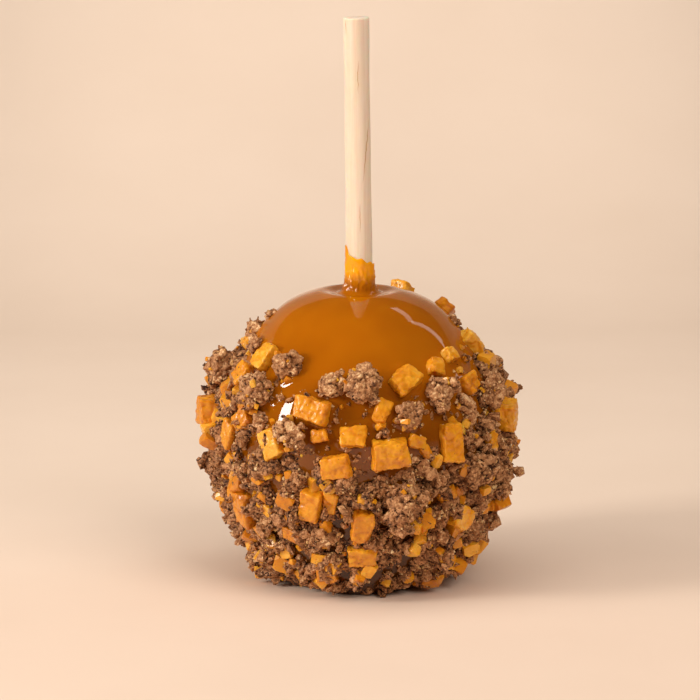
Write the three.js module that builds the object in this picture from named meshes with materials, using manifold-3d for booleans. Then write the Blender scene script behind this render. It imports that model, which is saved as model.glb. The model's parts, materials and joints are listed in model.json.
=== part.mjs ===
// A toffee apple: an apple dipped in caramel and rolled in broken butter toffee and chocolate
// crumble, on a round wooden stick.
// Millimetres, +Z up, front towards -Y. The origin is the middle of the flat foot it stands on.
// The stick, and every topping piece of 6 mm or more, is a solid of its own, seated in the caramel.
// Smaller pieces and the crumb crust are one solid with the dipped apple.

import * as THREE from "three";
import { ConvexGeometry } from "three/addons/geometries/ConvexGeometry.js";
import { mergeVertices } from "three/addons/utils/BufferGeometryUtils.js";
import Module from "manifold-3d";

const wasm = await Module();
wasm.setup();

// Driving dimensions of the dipped apple, without its toppings
const FOOT_RADIUS = 18.5;
const BELLY_RADIUS = 36;
const BELLY_HEIGHT = 35.5;
const SHOULDER_RADIUS = 10.6;
const SHOULDER_HEIGHT = 72.8;
const DIMPLE_DEPTH = 0.7;
const SHEATH_RADIUS = 3.95; // caramel that climbs the stick
const SHEATH_TOP = 79.6;
const SHEATH_TONGUE = 4; // how much further it climbs on the stick's left
const TWO_LOBES = 0.012; // share by which the body is out of round
const THREE_LOBES = 0.008;
const FOOT_LOBES = 0.03;

// The stick: a quarter inch dowel, four and a half inches long
const STICK_RADIUS = 3.175;
const STICK_LENGTH = 114.3;
const STICK_TOP = 140.8;
const STICK_LEAN = THREE.MathUtils.degToRad(-0.75);
const STICK_CHAMFER = 0.3;
const STICK_WOBBLE = 0.07; // hand-turned unevenness of its radius

// Toppings
const GAP = 0.3; // clearance round every solid that is seated in another
const SUNK = 1.3; // how deep a piece is pressed into the caramel
const NODE_SIZE = 6; // a piece this long or longer is a solid of its own
const MOST_PIECES = 58;
const TOFFEE_SHARE = 0.6; // of the pieces that the front view does not show
const LARGEST_BEHIND = 11.5;
const SPACING = 1.25; // least distance between them, as a share of their reach
const LEAST_SIZE = 0.66; // a piece that would have to shrink to less than this is left out
const SHRINK = 0.93;
const NUDGE = 0.7; // step by which a piece may be moved aside to clear its neighbours
const NUDGES = [[0, 0], [1, 0], [-1, 0], [0, 1], [0, -1], [2, 0], [-2, 0], [0, 2], [0, -2]];
const BARE_ANGLE = 41; // degrees from the top to the first toppings, at the sides and back
const BARE_FRONT = 17; // degrees more at the front
const CRUST_FRONT = 41; // degrees more at the front for the crumb crust
const FRONT_SHARE = 1.5; // how fast the front's extra degrees fade towards the sides
const LINE_WAVES = [2.5, 2]; // degrees by which the line wanders, in three waves and in seven
const CRUST_FADE = 12; // degrees over which the crust rises to its full thickness
const CRUST_THIN = 0.4;
const CRUST_THICK = 2.8;
const SMALL_PIECES = 56;
const SMALL_SIZES = [5.6, 3.4];
const SMALL_TOFFEE_SHARE = 0.45;
const LEAST_TOPPING_HEIGHT = 4;
const FLOOR_GAP = 0.3; // least height of a topping's lowest corner

// The front view that the placed toppings are measured in
const SEEN_FROM = THREE.MathUtils.degToRad(11); // how steeply it looks down
const SEEN_AT = 1000; // its distance
const SEEN_MIDDLE = 56.5; // height at the middle of the view

// Finishes, as sRGB colours
const CARAMEL = { color: 0xb5650a, roughness: 0.12, metalness: 0 };
const TOFFEE = { color: 0xe8961c, roughness: 0.35, metalness: 0 };
const CHOCOLATE = { color: 0x8a5a3c, roughness: 0.7, metalness: 0 };
const WOOD = { color: 0xf0d8ae, roughness: 0.6, metalness: 0 };

// Toppings that show on the front: kind, millimetres to the right of the stick, millimetres up as
// the front view shows it, length, width, and degrees that the length is turned from level.
// The last word says that a piece sits on the far side of the rim.
const FRONT_TOPPINGS = [
  ["toffee", 11.1, 71.4, 5.4, 4.4, 0, "far"],
  ["toffee", 21.6, 66.5, 7, 4.6, -35, "far"],
  ["toffee", 28.6, 58.2, 7.6, 4.8, -60],
  ["toffee", -24.4, 54.2, 6.6, 5.4, 80],
  ["toffee", -28.6, 50.8, 6.2, 5.6, 60],
  ["toffee", 11.8, 47.8, 7.4, 5.6, 35],
  ["toffee", 27.8, 47.2, 6.4, 5.6, 20],
  ["toffee", -36.9, 41.2, 9, 7.2, 0],
  ["toffee", -11.8, 41, 8.8, 6, -12],
  ["toffee", 4.9, 41.4, 7.6, 4.2, 62],
  ["toffee", 36.4, 40.5, 7.4, 6.8, 10],
  ["toffee", -33.4, 35.5, 7, 4.4, 70],
  ["toffee", -0.4, 34.8, 6.4, 5, 0],
  ["toffee", 33.4, 33.8, 6, 4.4, -70],
  ["toffee", 22.6, 33.5, 9.2, 5.4, 90],
  ["toffee", -21.9, 33.2, 7.2, 5, -60],
  ["toffee", 7.4, 30.5, 8.8, 6.8, 4],
  ["toffee", 37.8, 30.2, 6.2, 4.6, 70],
  ["toffee", -5.8, 27.5, 6.8, 5.8, 10],
  ["toffee", -11.9, 18.2, 8, 5, 80],
  ["toffee", -29.6, 17.2, 9, 5.6, 80],
  ["toffee", 24.8, 15.8, 6.6, 6, -30],
  ["toffee", -4.6, 14, 6.6, 4.8, -65],
  ["toffee", 0.4, 13.2, 7.6, 5, 85],
  ["toffee", 0.6, 5.5, 7, 5, 0],
  ["chocolate", -27.4, 61.5, 6.6, 5.6, 60],
  ["chocolate", -27.9, 57.5, 6.4, 5, 10],
  ["chocolate", -17.9, 52.2, 8.6, 7.2, 35],
  ["chocolate", 34.4, 52.2, 7, 6, -40],
  ["chocolate", -35.2, 51.5, 9.4, 8.6, 80],
  ["chocolate", 0.9, 47.4, 11.4, 8.8, 78],
  ["chocolate", -6, 46.4, 7.6, 6.4, 70],
  ["chocolate", -25.2, 45.5, 11, 9.8, 60],
  ["chocolate", 32.6, 45.5, 10.5, 8, 70],
  ["chocolate", 19.6, 44.8, 11.4, 8.6, 80],
  ["chocolate", 26.8, 41.8, 7.4, 5.6, -70],
  ["chocolate", 11.9, 40.2, 8, 7.6, 45],
  ["chocolate", -15.9, 36.2, 8.6, 7.4, -50],
  ["chocolate", 28.8, 28, 10, 9, 20],
  ["chocolate", 10.6, 18.8, 13.5, 12, 60],
  ["chocolate", -17.6, 17.2, 6.4, 5.4, 0],
  ["toffee", -30.2, 61, 3.4, 3, 20],
  ["toffee", -32.6, 58.5, 3.6, 3.2, 0],
  ["toffee", 23.4, 55, 3.8, 3.6, 5],
  ["toffee", 19.4, 51.8, 4.4, 3.8, 70],
  ["toffee", -29.6, 38.8, 5.7, 5.2, 40],
  ["toffee", -9.9, 35, 3.8, 3, 10],
  ["toffee", 14.6, 33.5, 4.4, 3.2, -20],
  ["toffee", 16.8, 31, 3.6, 2.6, -60],
  ["toffee", -33.2, 21, 5, 4, 20],
  ["toffee", 25.1, 21, 3.6, 3.2, 80],
  ["toffee", 21.6, 20.8, 3.8, 3.6, 30],
  ["toffee", 1.6, 19.2, 4.4, 3.8, 0],
  ["toffee", -7.4, 18.5, 5.8, 3.4, 75],
  ["toffee", -24.4, 17, 5, 3.4, -20],
  ["toffee", -17.2, 14.5, 3.6, 3, 0],
  ["toffee", -17.4, 10.8, 5.4, 3.8, -10],
  ["chocolate", -25.2, 65.2, 5.6, 3.8, 45],
  ["chocolate", 25.8, 63.8, 5.4, 4, -40],
  ["chocolate", 31.4, 57.2, 5.6, 4.4, -60],
  ["chocolate", 27.1, 54.8, 5.6, 4.4, -30],
  ["chocolate", -30.4, 47, 4.2, 3.6, 0],
  ["chocolate", -10.4, 46.5, 4, 2.8, 80],
  ["chocolate", -25.4, 38.5, 3.6, 3.4, 0],
  ["chocolate", -37.2, 35.8, 4.6, 4, 70],
  ["chocolate", 6.1, 35.5, 4.6, 3, 10],
  ["chocolate", 35.4, 26.5, 5.4, 4, 60],
];

// Seeded random numbers, from 0 up to 1
function seeded(seed) {
  let state = seed;
  return () => {
    state = (state + 0x6d2b79f5) | 0;
    let mixed = Math.imul(state ^ (state >>> 15), 1 | state);
    mixed = (mixed + Math.imul(mixed ^ (mixed >>> 7), 61 | mixed)) ^ mixed;
    return ((mixed ^ (mixed >>> 14)) >>> 0) / 4294967296;
  };
}
const random = seeded(27);
const between = (low, high) => low + (high - low) * random();

// Outline of the caramel, as radius and height, from the edge of the foot to the top of the sheath
const SHEATH_SPREAD = 2.3; // how far the caramel flares out where it leaves the stick
const outline = new THREE.SplineCurve(
  [
    [FOOT_RADIUS, 0],
    [26.8, 8.2],
    [32.4, 20],
    [BELLY_RADIUS, BELLY_HEIGHT],
    [34, 49],
    [26.7, 60.9],
    [19.3, 69],
    [SHOULDER_RADIUS, SHOULDER_HEIGHT],
    [SHEATH_RADIUS + SHEATH_SPREAD, SHOULDER_HEIGHT - DIMPLE_DEPTH],
    [SHEATH_RADIUS + 0.55, SHOULDER_HEIGHT + 2],
    [SHEATH_RADIUS, SHEATH_TOP],
  ].map(([radius, height]) => new THREE.Vector2(radius, height)),
);
const OUTLINE_SAMPLES = 400;
const outlinePoints = outline.getSpacedPoints(OUTLINE_SAMPLES);

// The outline's radius at a height, below the shoulder
function radiusAt(height) {
  const above = outlinePoints.findIndex((point) => point.y > height);
  if (above < 1) return FOOT_RADIUS;
  const [low, high] = [outlinePoints[above - 1], outlinePoints[above]];
  return THREE.MathUtils.mapLinear(height, low.y, high.y, low.x, high.x);
}

// How far out of round the body is. Bearing 0 is the front, and it grows towards +X.
function lobes(bearing, height) {
  const fade = 1 - THREE.MathUtils.smoothstep(height, 0.8 * SHOULDER_HEIGHT, SHOULDER_HEIGHT);
  const foot = 1 - THREE.MathUtils.smoothstep(height, 0, BELLY_HEIGHT);
  return (
    1 +
    fade * (TWO_LOBES * Math.sin(2 * bearing + 0.6) + THREE_LOBES * Math.sin(3 * bearing + 2.1)) +
    foot * FOOT_LOBES * Math.cos(5 * bearing)
  );
}

// A point at a radius, bearing and height
function around(radius, bearing, height) {
  return new THREE.Vector3(radius * Math.sin(bearing), -radius * Math.cos(bearing), height);
}

function onBody(bearing, height) {
  return around(radiusAt(height) * lobes(bearing, height), bearing, height);
}

function outwards(bearing, height) {
  const step = 0.4;
  const up = onBody(bearing, height + step).sub(onBody(bearing, height - step));
  const along = onBody(bearing + step / 10, height).sub(onBody(bearing - step / 10, height));
  return along.cross(up).normalize();
}

// Degrees from the top, as seen from the middle of the body
function fromTop(radius, height) {
  return THREE.MathUtils.radToDeg(Math.atan2(radius, height - BELLY_HEIGHT));
}

// Degrees by which a place lies below the line where the toppings, or the crust, begin
function belowLine(bearing, radius, height, moreAtFront) {
  const front = Math.max(0, Math.cos(bearing)) ** FRONT_SHARE;
  const [slow, quick] = LINE_WAVES;
  const wave = slow * Math.sin(3 * bearing + 1) + quick * Math.sin(7 * bearing);
  return fromTop(radius, height) - (BARE_ANGLE + moreAtFront * front + wave);
}

// A closed solid from triangles: rings of points, each ring the same length, between two poles
function ringSolid(rings, bottom, top) {
  const count = rings[0].length;
  const points = [bottom, ...rings.flat(), top];
  const corner = (ring, place) => 1 + ring * count + (place % count);
  const index = [];
  for (let place = 0; place < count; place++) {
    index.push(0, corner(0, place + 1), corner(0, place));
    for (let ring = 0; ring < rings.length - 1; ring++) {
      const [a, b] = [corner(ring, place), corner(ring, place + 1)];
      const [c, d] = [corner(ring + 1, place), corner(ring + 1, place + 1)];
      index.push(a, b, d, a, d, c);
    }
    const last = rings.length - 1;
    index.push(corner(last, place), corner(last, place + 1), points.length - 1);
  }
  const geometry = new THREE.BufferGeometry().setFromPoints(points);
  geometry.setIndex(index);
  return geometry;
}

// A three.js geometry as a manifold solid, and back
function toSolid(geometry) {
  const plain = geometry.clone();
  for (const name of Object.keys(plain.attributes)) {
    if (name !== "position") plain.deleteAttribute(name);
  }
  const merged = mergeVertices(plain, 1e-4);
  return new wasm.Manifold(
    new wasm.Mesh({
      numProp: 3,
      vertProperties: merged.attributes.position.array,
      triVerts: new Uint32Array(merged.index.array),
    }),
  );
}

function toGeometry(solid) {
  const mesh = solid.getMesh();
  const geometry = new THREE.BufferGeometry();
  geometry.setAttribute("position", new THREE.BufferAttribute(mesh.vertProperties, 3));
  geometry.setIndex(new THREE.BufferAttribute(mesh.triVerts, 1));
  geometry.computeVertexNormals();
  return geometry;
}

// The dipped apple: bare and smooth above, with bumps of crumb size where the crust is
function makeBody() {
  const bearings = 48;
  const belowShoulder = 23;
  const sheathSteps = 5;
  const shoulderAt = outlinePoints.findIndex((point) => point.y > SHOULDER_HEIGHT - 0.3);
  const samples = [];
  for (let step = 0; step <= belowShoulder; step++) {
    samples.push(outlinePoints[Math.round((step * shoulderAt) / belowShoulder)]);
  }
  for (let step = 1; step <= sheathSteps; step++) {
    const left = OUTLINE_SAMPLES - shoulderAt;
    samples.push(outlinePoints[Math.round(shoulderAt + (step * left) / sheathSteps)]);
  }
  const left = -Math.PI / 2;
  const rings = samples.map((sample, ring) =>
    Array.from({ length: bearings }, (_, place) => {
      const half = ring % 2 ? 0.5 : 0;
      const bearing = ((place + (ring > belowShoulder ? 0 : half)) * 2 * Math.PI) / bearings;
      const below = belowLine(bearing, sample.x, sample.y, CRUST_FRONT);
      const crust = THREE.MathUtils.smoothstep(below, 0, CRUST_FADE);
      const relief = ring > 0 ? crust * between(CRUST_THIN, CRUST_THICK) : 0;
      const climb = THREE.MathUtils.smoothstep(sample.y, SHOULDER_HEIGHT + 2, SHEATH_TOP);
      const tongue = Math.max(0, Math.cos(bearing - left)) ** 3;
      const radius = sample.x * lobes(bearing, sample.y) + relief;
      return around(radius, bearing, sample.y + climb * tongue * SHEATH_TONGUE);
    }),
  );
  const top = new THREE.Vector3(0, 0, SHEATH_TOP + 0.1);
  return toSolid(ringSolid(rings, new THREE.Vector3(), top));
}

// The stick, standing on z = 0: a little uneven, with a chamfer at both ends
function stickGeometry(extra) {
  const sides = 24;
  const steps = 12;
  const stations = [[0, -STICK_CHAMFER], [STICK_CHAMFER, 0]];
  for (let step = 1; step < steps; step++) {
    stations.push([(step * STICK_LENGTH) / steps, STICK_WOBBLE * Math.sin(2.3 * step)]);
  }
  stations.push([STICK_LENGTH - STICK_CHAMFER, 0], [STICK_LENGTH, -STICK_CHAMFER]);
  const rings = stations.map(([height, change]) =>
    Array.from({ length: sides }, (_, place) => {
      const bearing = (place * 2 * Math.PI) / sides;
      const uneven = STICK_WOBBLE * Math.sin(2 * bearing + 0.08 * height);
      const end = height === 0 ? -extra : height === STICK_LENGTH ? extra : 0;
      return around(STICK_RADIUS + change + uneven + extra, bearing, height + end);
    }),
  );
  return ringSolid(
    rings,
    new THREE.Vector3(0, 0, -extra),
    new THREE.Vector3(0, 0, STICK_LENGTH + extra),
  );
}

function placeStick(mesh) {
  mesh.rotation.y = STICK_LEAN;
  const length = STICK_TOP - SHOULDER_HEIGHT;
  const embedded = STICK_LENGTH - length;
  mesh.position.set(
    -embedded * Math.sin(STICK_LEAN),
    0,
    SHOULDER_HEIGHT - embedded * Math.cos(STICK_LEAN),
  );
  mesh.updateMatrix();
  return mesh;
}

// Broken toffee: a slab's corner with some corners snapped off, round its own middle
function toffeePoints(length, width, thickness) {
  const points = [];
  const snapped = Math.floor(between(0, 8));
  for (let corner = 0; corner < 8; corner++) {
    const sign = [corner & 1 ? 1 : -1, corner & 2 ? 1 : -1, corner & 4 ? 1 : -1];
    const place = new THREE.Vector3(
      (sign[0] * length * between(0.84, 1.1)) / 2,
      (sign[1] * width * between(0.84, 1.12)) / 2,
      (sign[2] * thickness * between(0.85, 1.1)) / 2,
    );
    if (corner !== snapped) {
      points.push(place);
      continue;
    }
    const cut = between(0.3, 0.5);
    for (const axis of ["x", "y", "z"]) {
      const moved = place.clone();
      moved[axis] *= 1 - 2 * cut;
      points.push(moved);
    }
  }
  return points;
}

// Chocolate crumble: a broken lump with flat sides, round its own middle
function crumblePoints(length, width, thickness, knobs) {
  const golden = Math.PI * (3 - Math.sqrt(5));
  const ways = Array.from({ length: knobs }, (_, knob) => {
    const level = 1 - (2 * (knob + 0.5)) / knobs;
    const turn = knob * golden + between(-0.35, 0.35);
    const ring = Math.sqrt(1 - level * level);
    const way = new THREE.Vector3(ring * Math.cos(turn), ring * Math.sin(turn), level);
    return way.multiplyScalar(between(0.78, 1.12));
  });
  const box = new THREE.Box3().setFromPoints(ways);
  const middle = box.getCenter(new THREE.Vector3());
  const scale = new THREE.Vector3(length, width, thickness).divide(box.getSize(new THREE.Vector3()));
  return ways.map((way) => way.sub(middle).multiply(scale));
}

function shapePoints(kind, length, width, small) {
  const thickness = width * between(0.72, 0.95);
  const points =
    kind === "toffee"
      ? toffeePoints(length, width, thickness)
      : crumblePoints(length, width, thickness, small ? 10 : 17);
  return { points, thickness };
}

// A convex piece from its points, and the same piece grown by the gap on every side
function convexSolid(points) {
  return toSolid(new ConvexGeometry(points));
}

function grownPoints(points, gap) {
  const middle = points
    .reduce((sum, point) => sum.add(point), new THREE.Vector3())
    .divideScalar(points.length);
  const hull = new ConvexGeometry(points).attributes.position;
  let inner = Infinity;
  for (let i = 0; i < hull.count; i += 3) {
    const [a, b, c] = [0, 1, 2].map((k) => new THREE.Vector3().fromBufferAttribute(hull, i + k));
    const plane = new THREE.Plane().setFromCoplanarPoints(a, b, c);
    inner = Math.min(inner, Math.abs(plane.distanceToPoint(middle)));
  }
  const scale = 1 + gap / inner;
  return points.map((point) => point.clone().sub(middle).multiplyScalar(scale).add(middle));
}

// Where a piece sits: its frame has x along the piece's length and z out of the caramel
function seat(bearing, height, turn, thickness, sunk) {
  const out = outwards(bearing, height);
  const level = new THREE.Vector3(Math.cos(bearing), Math.sin(bearing), 0);
  const along = level.applyAxisAngle(out, THREE.MathUtils.degToRad(turn));
  const tilt = THREE.MathUtils.degToRad(between(-12, 12));
  const leaning = out.clone().applyAxisAngle(along, tilt);
  const across = leaning.clone().cross(along);
  const matrix = new THREE.Matrix4().makeBasis(along, across, leaning);
  const middle = onBody(bearing, height).addScaledVector(out, thickness / 2 - sunk);
  return matrix.setPosition(middle);
}

const onSide = (height) =>
  THREE.MathUtils.clamp(height, LEAST_TOPPING_HEIGHT, SHOULDER_HEIGHT - 1.5);

// The bearing and height that the front view shows at a place right of the stick and up. What is
// nearer than the stick looks larger, and further from the middle of the view.
function fromFrontView(right, up, far) {
  const proud = 1.5; // a piece's middle stands out of the caramel by about this much
  const rounds = 30;
  let height = up;
  let radius = BELLY_RADIUS;
  let depth = 0;
  let near = 1;
  for (let round = 0; round < rounds; round++) {
    radius = radiusAt(onSide(height)) + proud;
    depth = Math.sqrt(Math.max(0, radius ** 2 - (right / near) ** 2)) * (far ? -1 : 1);
    near = 1 + depth / SEEN_AT;
    const seen = SEEN_MIDDLE + (up - SEEN_MIDDLE) / near;
    height += 0.5 * ((seen + depth * Math.sin(SEEN_FROM)) / Math.cos(SEEN_FROM) - height);
  }
  const bearing = Math.atan2(THREE.MathUtils.clamp(right / near, -radius, radius), depth);
  return { bearing, height: onSide(height) };
}

const tooNear = (one, other, share) =>
  one.middle.distanceTo(other.middle) < share * (one.reach + other.reach);

// Small pieces may run into each other, because they are one solid with the caramel
function clears(piece, other) {
  if (piece.small && other.small) return true;
  if (!tooNear(piece, other, 1.8)) return true;
  return piece.grown.intersect(other.solid).volume() < 1e-6;
}

// A piece with its shape in place. It is nudged aside, then shrunk, until it clears the pieces
// before it.
function fitPiece(kind, bearing, height, length, width, turn, placed) {
  const small = length < NODE_SIZE;
  const { points, thickness } = shapePoints(kind, length, width, small);
  const matrix = seat(bearing, height, turn, thickness, small ? thickness * 0.35 : SUNK);
  for (let size = 1; size > LEAST_SIZE; size *= SHRINK) {
    for (const [along, across] of NUDGES) {
      const moved = new THREE.Matrix4().makeTranslation(along * NUDGE, across * NUDGE, 0);
      moved.premultiply(matrix);
      const middle = new THREE.Vector3().setFromMatrixPosition(moved);
      const here = points.map((point) => point.clone().multiplyScalar(size).applyMatrix4(moved));
      if (here.some((point) => point.z < FLOOR_GAP)) continue;
      const piece = { kind, small, middle, reach: (length * size) / 2, points: here };
      piece.solid = convexSolid(here);
      piece.grown = convexSolid(grownPoints(here, GAP));
      if (placed.every((other) => clears(piece, other))) return piece;
    }
  }
  return null;
}

// All pieces: those that the front view shows, then seeded ones, the largest first
function makePieces() {
  const placed = [];
  const keep = (piece) => piece && placed.push(piece);
  const large = () => placed.filter((piece) => !piece.small).length;
  const bySize = [...FRONT_TOPPINGS].sort((a, b) => b[3] - a[3]);
  for (const [kind, right, up, length, width, turn, far] of bySize) {
    const { bearing, height } = fromFrontView(right, up, far);
    keep(fitPiece(kind, bearing, height, length, width, turn, placed));
  }
  const tries = 4000;
  for (let attempt = 0; attempt < tries && large() < MOST_PIECES; attempt++) {
    const bearing = between(0.52, 1.48) * Math.PI;
    const height = between(5, 65);
    if (belowLine(bearing, radiusAt(height), height, BARE_FRONT) < 3) continue;
    const length = THREE.MathUtils.lerp(LARGEST_BEHIND, NODE_SIZE, large() / MOST_PIECES);
    const kind = random() < TOFFEE_SHARE ? "toffee" : "chocolate";
    const width = length * between(0.68, 0.92);
    const spot = { middle: onBody(bearing, height), reach: length / 2 };
    if (placed.some((other) => tooNear(spot, other, other.small ? 0.9 : SPACING))) continue;
    keep(fitPiece(kind, bearing, height, length, width, between(0, 180), placed));
  }
  let small = 0;
  for (let attempt = 0; attempt < tries && small < SMALL_PIECES; attempt++) {
    const bearing = between(-1, 1) * Math.PI;
    const height = between(3.5, 66);
    if (belowLine(bearing, radiusAt(height), height, CRUST_FRONT) < 2) continue;
    const length = THREE.MathUtils.lerp(...SMALL_SIZES, small / SMALL_PIECES);
    const kind = random() < SMALL_TOFFEE_SHARE ? "toffee" : "chocolate";
    const width = length * between(0.7, 0.95);
    const spot = { middle: onBody(bearing, height), reach: length / 2 };
    if (placed.some((other) => tooNear(spot, other, 0.8))) continue;
    const piece = fitPiece(kind, bearing, height, length, width, between(0, 180), placed);
    if (keep(piece)) small++;
  }
  return placed;
}

function meshOf(name, geometry, finish) {
  const mesh = new THREE.Mesh(geometry, new THREE.MeshStandardMaterial(finish));
  mesh.name = name;
  return mesh;
}

const pieces = makePieces();
const stick = placeStick(meshOf("stick", stickGeometry(0), WOOD));
const stickHole = toSolid(stickGeometry(GAP).applyMatrix4(stick.matrix));
const floor = new THREE.BoxGeometry(200, 200, 20).translate(0, 0, -10);

// The dipped apple takes the small pieces in, and a seat is cut in it for each large one
let dipped = makeBody();
for (const piece of pieces) {
  if (piece.small) dipped = dipped.add(piece.solid);
}
for (const piece of pieces) {
  if (!piece.small) dipped = dipped.subtract(piece.grown);
}
dipped = dipped.subtract(stickHole).subtract(toSolid(floor));
const [whole] = dipped.decompose().sort((a, b) => b.volume() - a.volume());

const group = new THREE.Group();
group.name = "toffee_apple";
group.add(meshOf("caramel_apple", toGeometry(whole), CARAMEL), stick);
const counts = { toffee: 0, chocolate: 0 };
for (const piece of pieces.filter((one) => !one.small)) {
  const number = String(++counts[piece.kind]).padStart(2, "0");
  const finish = piece.kind === "toffee" ? TOFFEE : CHOCOLATE;
  group.add(meshOf(`${piece.kind}_${number}`, toGeometry(piece.solid), finish));
}

export default group;
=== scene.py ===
# %% [markdown]
# # A toffee apple
#
# An apple dipped in caramel, rolled in broken butter toffee and chocolate crumble, on a wooden
# stick. The solids come from the imported model, and they settle where everything is. This script
# gives each of them the surface of the real thing: a glossy coat, snapped toffee, crumbly
# chocolate and a bed of crumbs.
#
# The frame is loaded first.

# %% Load the imported model
import json
import math

import bmesh
import bpy
import numpy as np
from mathutils import Matrix, Quaternion, Vector, bvhtree

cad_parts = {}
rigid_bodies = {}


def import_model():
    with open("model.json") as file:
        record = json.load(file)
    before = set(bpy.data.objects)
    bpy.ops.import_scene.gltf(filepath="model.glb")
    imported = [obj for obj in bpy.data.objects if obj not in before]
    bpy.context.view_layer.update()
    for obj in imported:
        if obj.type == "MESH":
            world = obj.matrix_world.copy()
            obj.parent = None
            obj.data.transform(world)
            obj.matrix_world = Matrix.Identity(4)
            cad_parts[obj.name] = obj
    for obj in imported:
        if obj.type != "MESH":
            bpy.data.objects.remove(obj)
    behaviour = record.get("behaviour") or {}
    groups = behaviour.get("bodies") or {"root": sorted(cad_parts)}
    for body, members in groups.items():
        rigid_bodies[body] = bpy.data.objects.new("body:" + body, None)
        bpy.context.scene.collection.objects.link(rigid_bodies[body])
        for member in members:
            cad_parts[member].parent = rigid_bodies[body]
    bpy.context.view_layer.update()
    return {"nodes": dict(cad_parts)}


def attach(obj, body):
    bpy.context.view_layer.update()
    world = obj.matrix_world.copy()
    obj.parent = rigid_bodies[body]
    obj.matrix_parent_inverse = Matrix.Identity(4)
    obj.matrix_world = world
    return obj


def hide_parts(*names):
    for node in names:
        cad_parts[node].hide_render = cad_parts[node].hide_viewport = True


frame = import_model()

# %% [markdown]
# Blender works in metres, but everything on a sweet is a few millimetres large. The sizes below
# are therefore written in millimetres, and turned into metres where a mesh is made.
#
# The apple is a turned shape. One outline, a smooth curve through a few points, gives its radius
# at each height, and a few slow waves make it as uneven as an apple is. The points are those of
# the solid, so the coat that is made from them lies where the solid lies.

# %% Sizes of the dipped apple and its stick
MM = 0.001
SHOULDER_HEIGHT = 72.8
BELLY_HEIGHT = 35.5
SHEATH_TOP = 79.6
SHEATH_TONGUE = 4
STICK_RADIUS = 3.175
STICK_LENGTH = 114.3
STICK_TOP = 140.8
STICK_LEAN = math.radians(-0.75)
SEED = 27

OUTLINE = [
    (18.5, 0), (26.8, 8.2), (32.4, 20), (36, BELLY_HEIGHT), (34, 49), (26.7, 60.9),
    (19.3, 69), (10.6, SHOULDER_HEIGHT), (5.4, 72.4), (3.95, 74.6), (3.55, SHEATH_TOP),
]


def outline_points(corners, samples):
    """Evenly spaced points on a smooth curve through the corners."""
    corners = np.array([corners[0], *corners, corners[-1]], float)
    curve = []
    for before, start, end, after in zip(corners, corners[1:], corners[2:], corners[3:]):
        t = np.linspace(0, 1, 200, endpoint=False)[:, None]
        leave, arrive = (end - before) / 2, (after - start) / 2
        curve.append(
            (2 * start - 2 * end + leave + arrive) * t**3
            + (3 * end - 3 * start - 2 * leave - arrive) * t**2
            + leave * t + start
        )
    curve = np.vstack([*curve, corners[-1:]])
    along = np.append(0, np.cumsum(np.linalg.norm(np.diff(curve, axis=0), axis=1)))
    even = np.linspace(0, along[-1], samples)
    return np.stack([np.interp(even, along, curve[:, 0]), np.interp(even, along, curve[:, 1])], 1)


outline = outline_points(OUTLINE, 400)
below_shoulder = outline[: int(np.argmax(outline[:, 1] > SHOULDER_HEIGHT - 0.3))]


def smooth(value, low, high):
    """0 below low, 1 above high, and a soft step between them."""
    share = np.clip((value - low) / (high - low), 0, 1)
    return share * share * (3 - 2 * share)


def lobes(bearing, height):
    """How far the apple is out of round. Bearing 0 is the front, and it grows towards +X."""
    fade = 1 - smooth(height, 0.8 * SHOULDER_HEIGHT, SHOULDER_HEIGHT)
    foot = 1 - smooth(height, 0, BELLY_HEIGHT)
    uneven = 0.012 * np.sin(2 * bearing + 0.6) + 0.008 * np.sin(3 * bearing + 2.1)
    return 1 + fade * uneven + foot * 0.03 * np.cos(5 * bearing)


def radius_at(height):
    return np.interp(height, below_shoulder[:, 1], below_shoulder[:, 0])


def around(radius, bearing, height):
    """Points at a radius, bearing and height."""
    across = np.stack([radius * np.sin(bearing), -radius * np.cos(bearing)], -1)
    return np.concatenate([across, np.broadcast_to(height, radius.shape)[..., None]], -1)


def below_line(bearing, radius, height, more_at_front):
    """Degrees by which a place lies below the line where the toppings, or the crust, begin."""
    from_top = np.degrees(np.arctan2(radius, height - BELLY_HEIGHT))
    front = np.maximum(0, np.cos(bearing)) ** 1.5
    wave = 2.5 * np.sin(3 * bearing + 1) + 2 * np.sin(7 * bearing)
    return from_top - (41 + more_at_front * front + wave)


print("belly radius", round(float(radius_at(BELLY_HEIGHT)), 2), "mm")

# %% [markdown]
# ## Stage, camera and light
#
# The apple stands on pale peach paper that sweeps up behind it. A seamless sweep is one strip
# bent through a quarter circle, so no horizon shows. Its top edge matters too: the glossy
# shoulder of the apple mirrors the paper at a low angle, as a pale band, and the band ends where
# the paper ends.

# %% Paper sweep
PAPER_FRONT = -1400
PAPER_BACK = 720
PAPER_BEND = 380
PAPER_TOP = 560
PAPER_HALF_WIDTH = 1300


def paper_sweep():
    bend = np.linspace(0, math.pi / 2, 25)
    track = [(PAPER_FRONT, 0)]
    track += [
        (PAPER_BACK - PAPER_BEND + PAPER_BEND * math.sin(turn), PAPER_BEND * (1 - math.cos(turn)))
        for turn in bend
    ]
    track.append((PAPER_BACK, PAPER_TOP))
    mesh = bpy.data.meshes.new("paper_sweep")
    points = [(side * PAPER_HALF_WIDTH * MM, y * MM, z * MM) for y, z in track for side in (-1, 1)]
    faces = [(2 * i, 2 * i + 1, 2 * i + 3, 2 * i + 2) for i in range(len(track) - 1)]
    mesh.from_pydata(points, [], faces)
    mesh.shade_smooth()
    sweep = bpy.data.objects.new("paper_sweep", mesh)
    bpy.context.scene.collection.objects.link(sweep)
    return sweep


paper = paper_sweep()
print("paper is", PAPER_TOP, "mm high behind the apple")

# %% [markdown]
# The photograph is taken from about a metre away with a long lens, from a little above. A lens
# that long keeps the stick's sides parallel. The camera looks along a line that meets the
# apple's axis a little below its shoulder.

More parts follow.
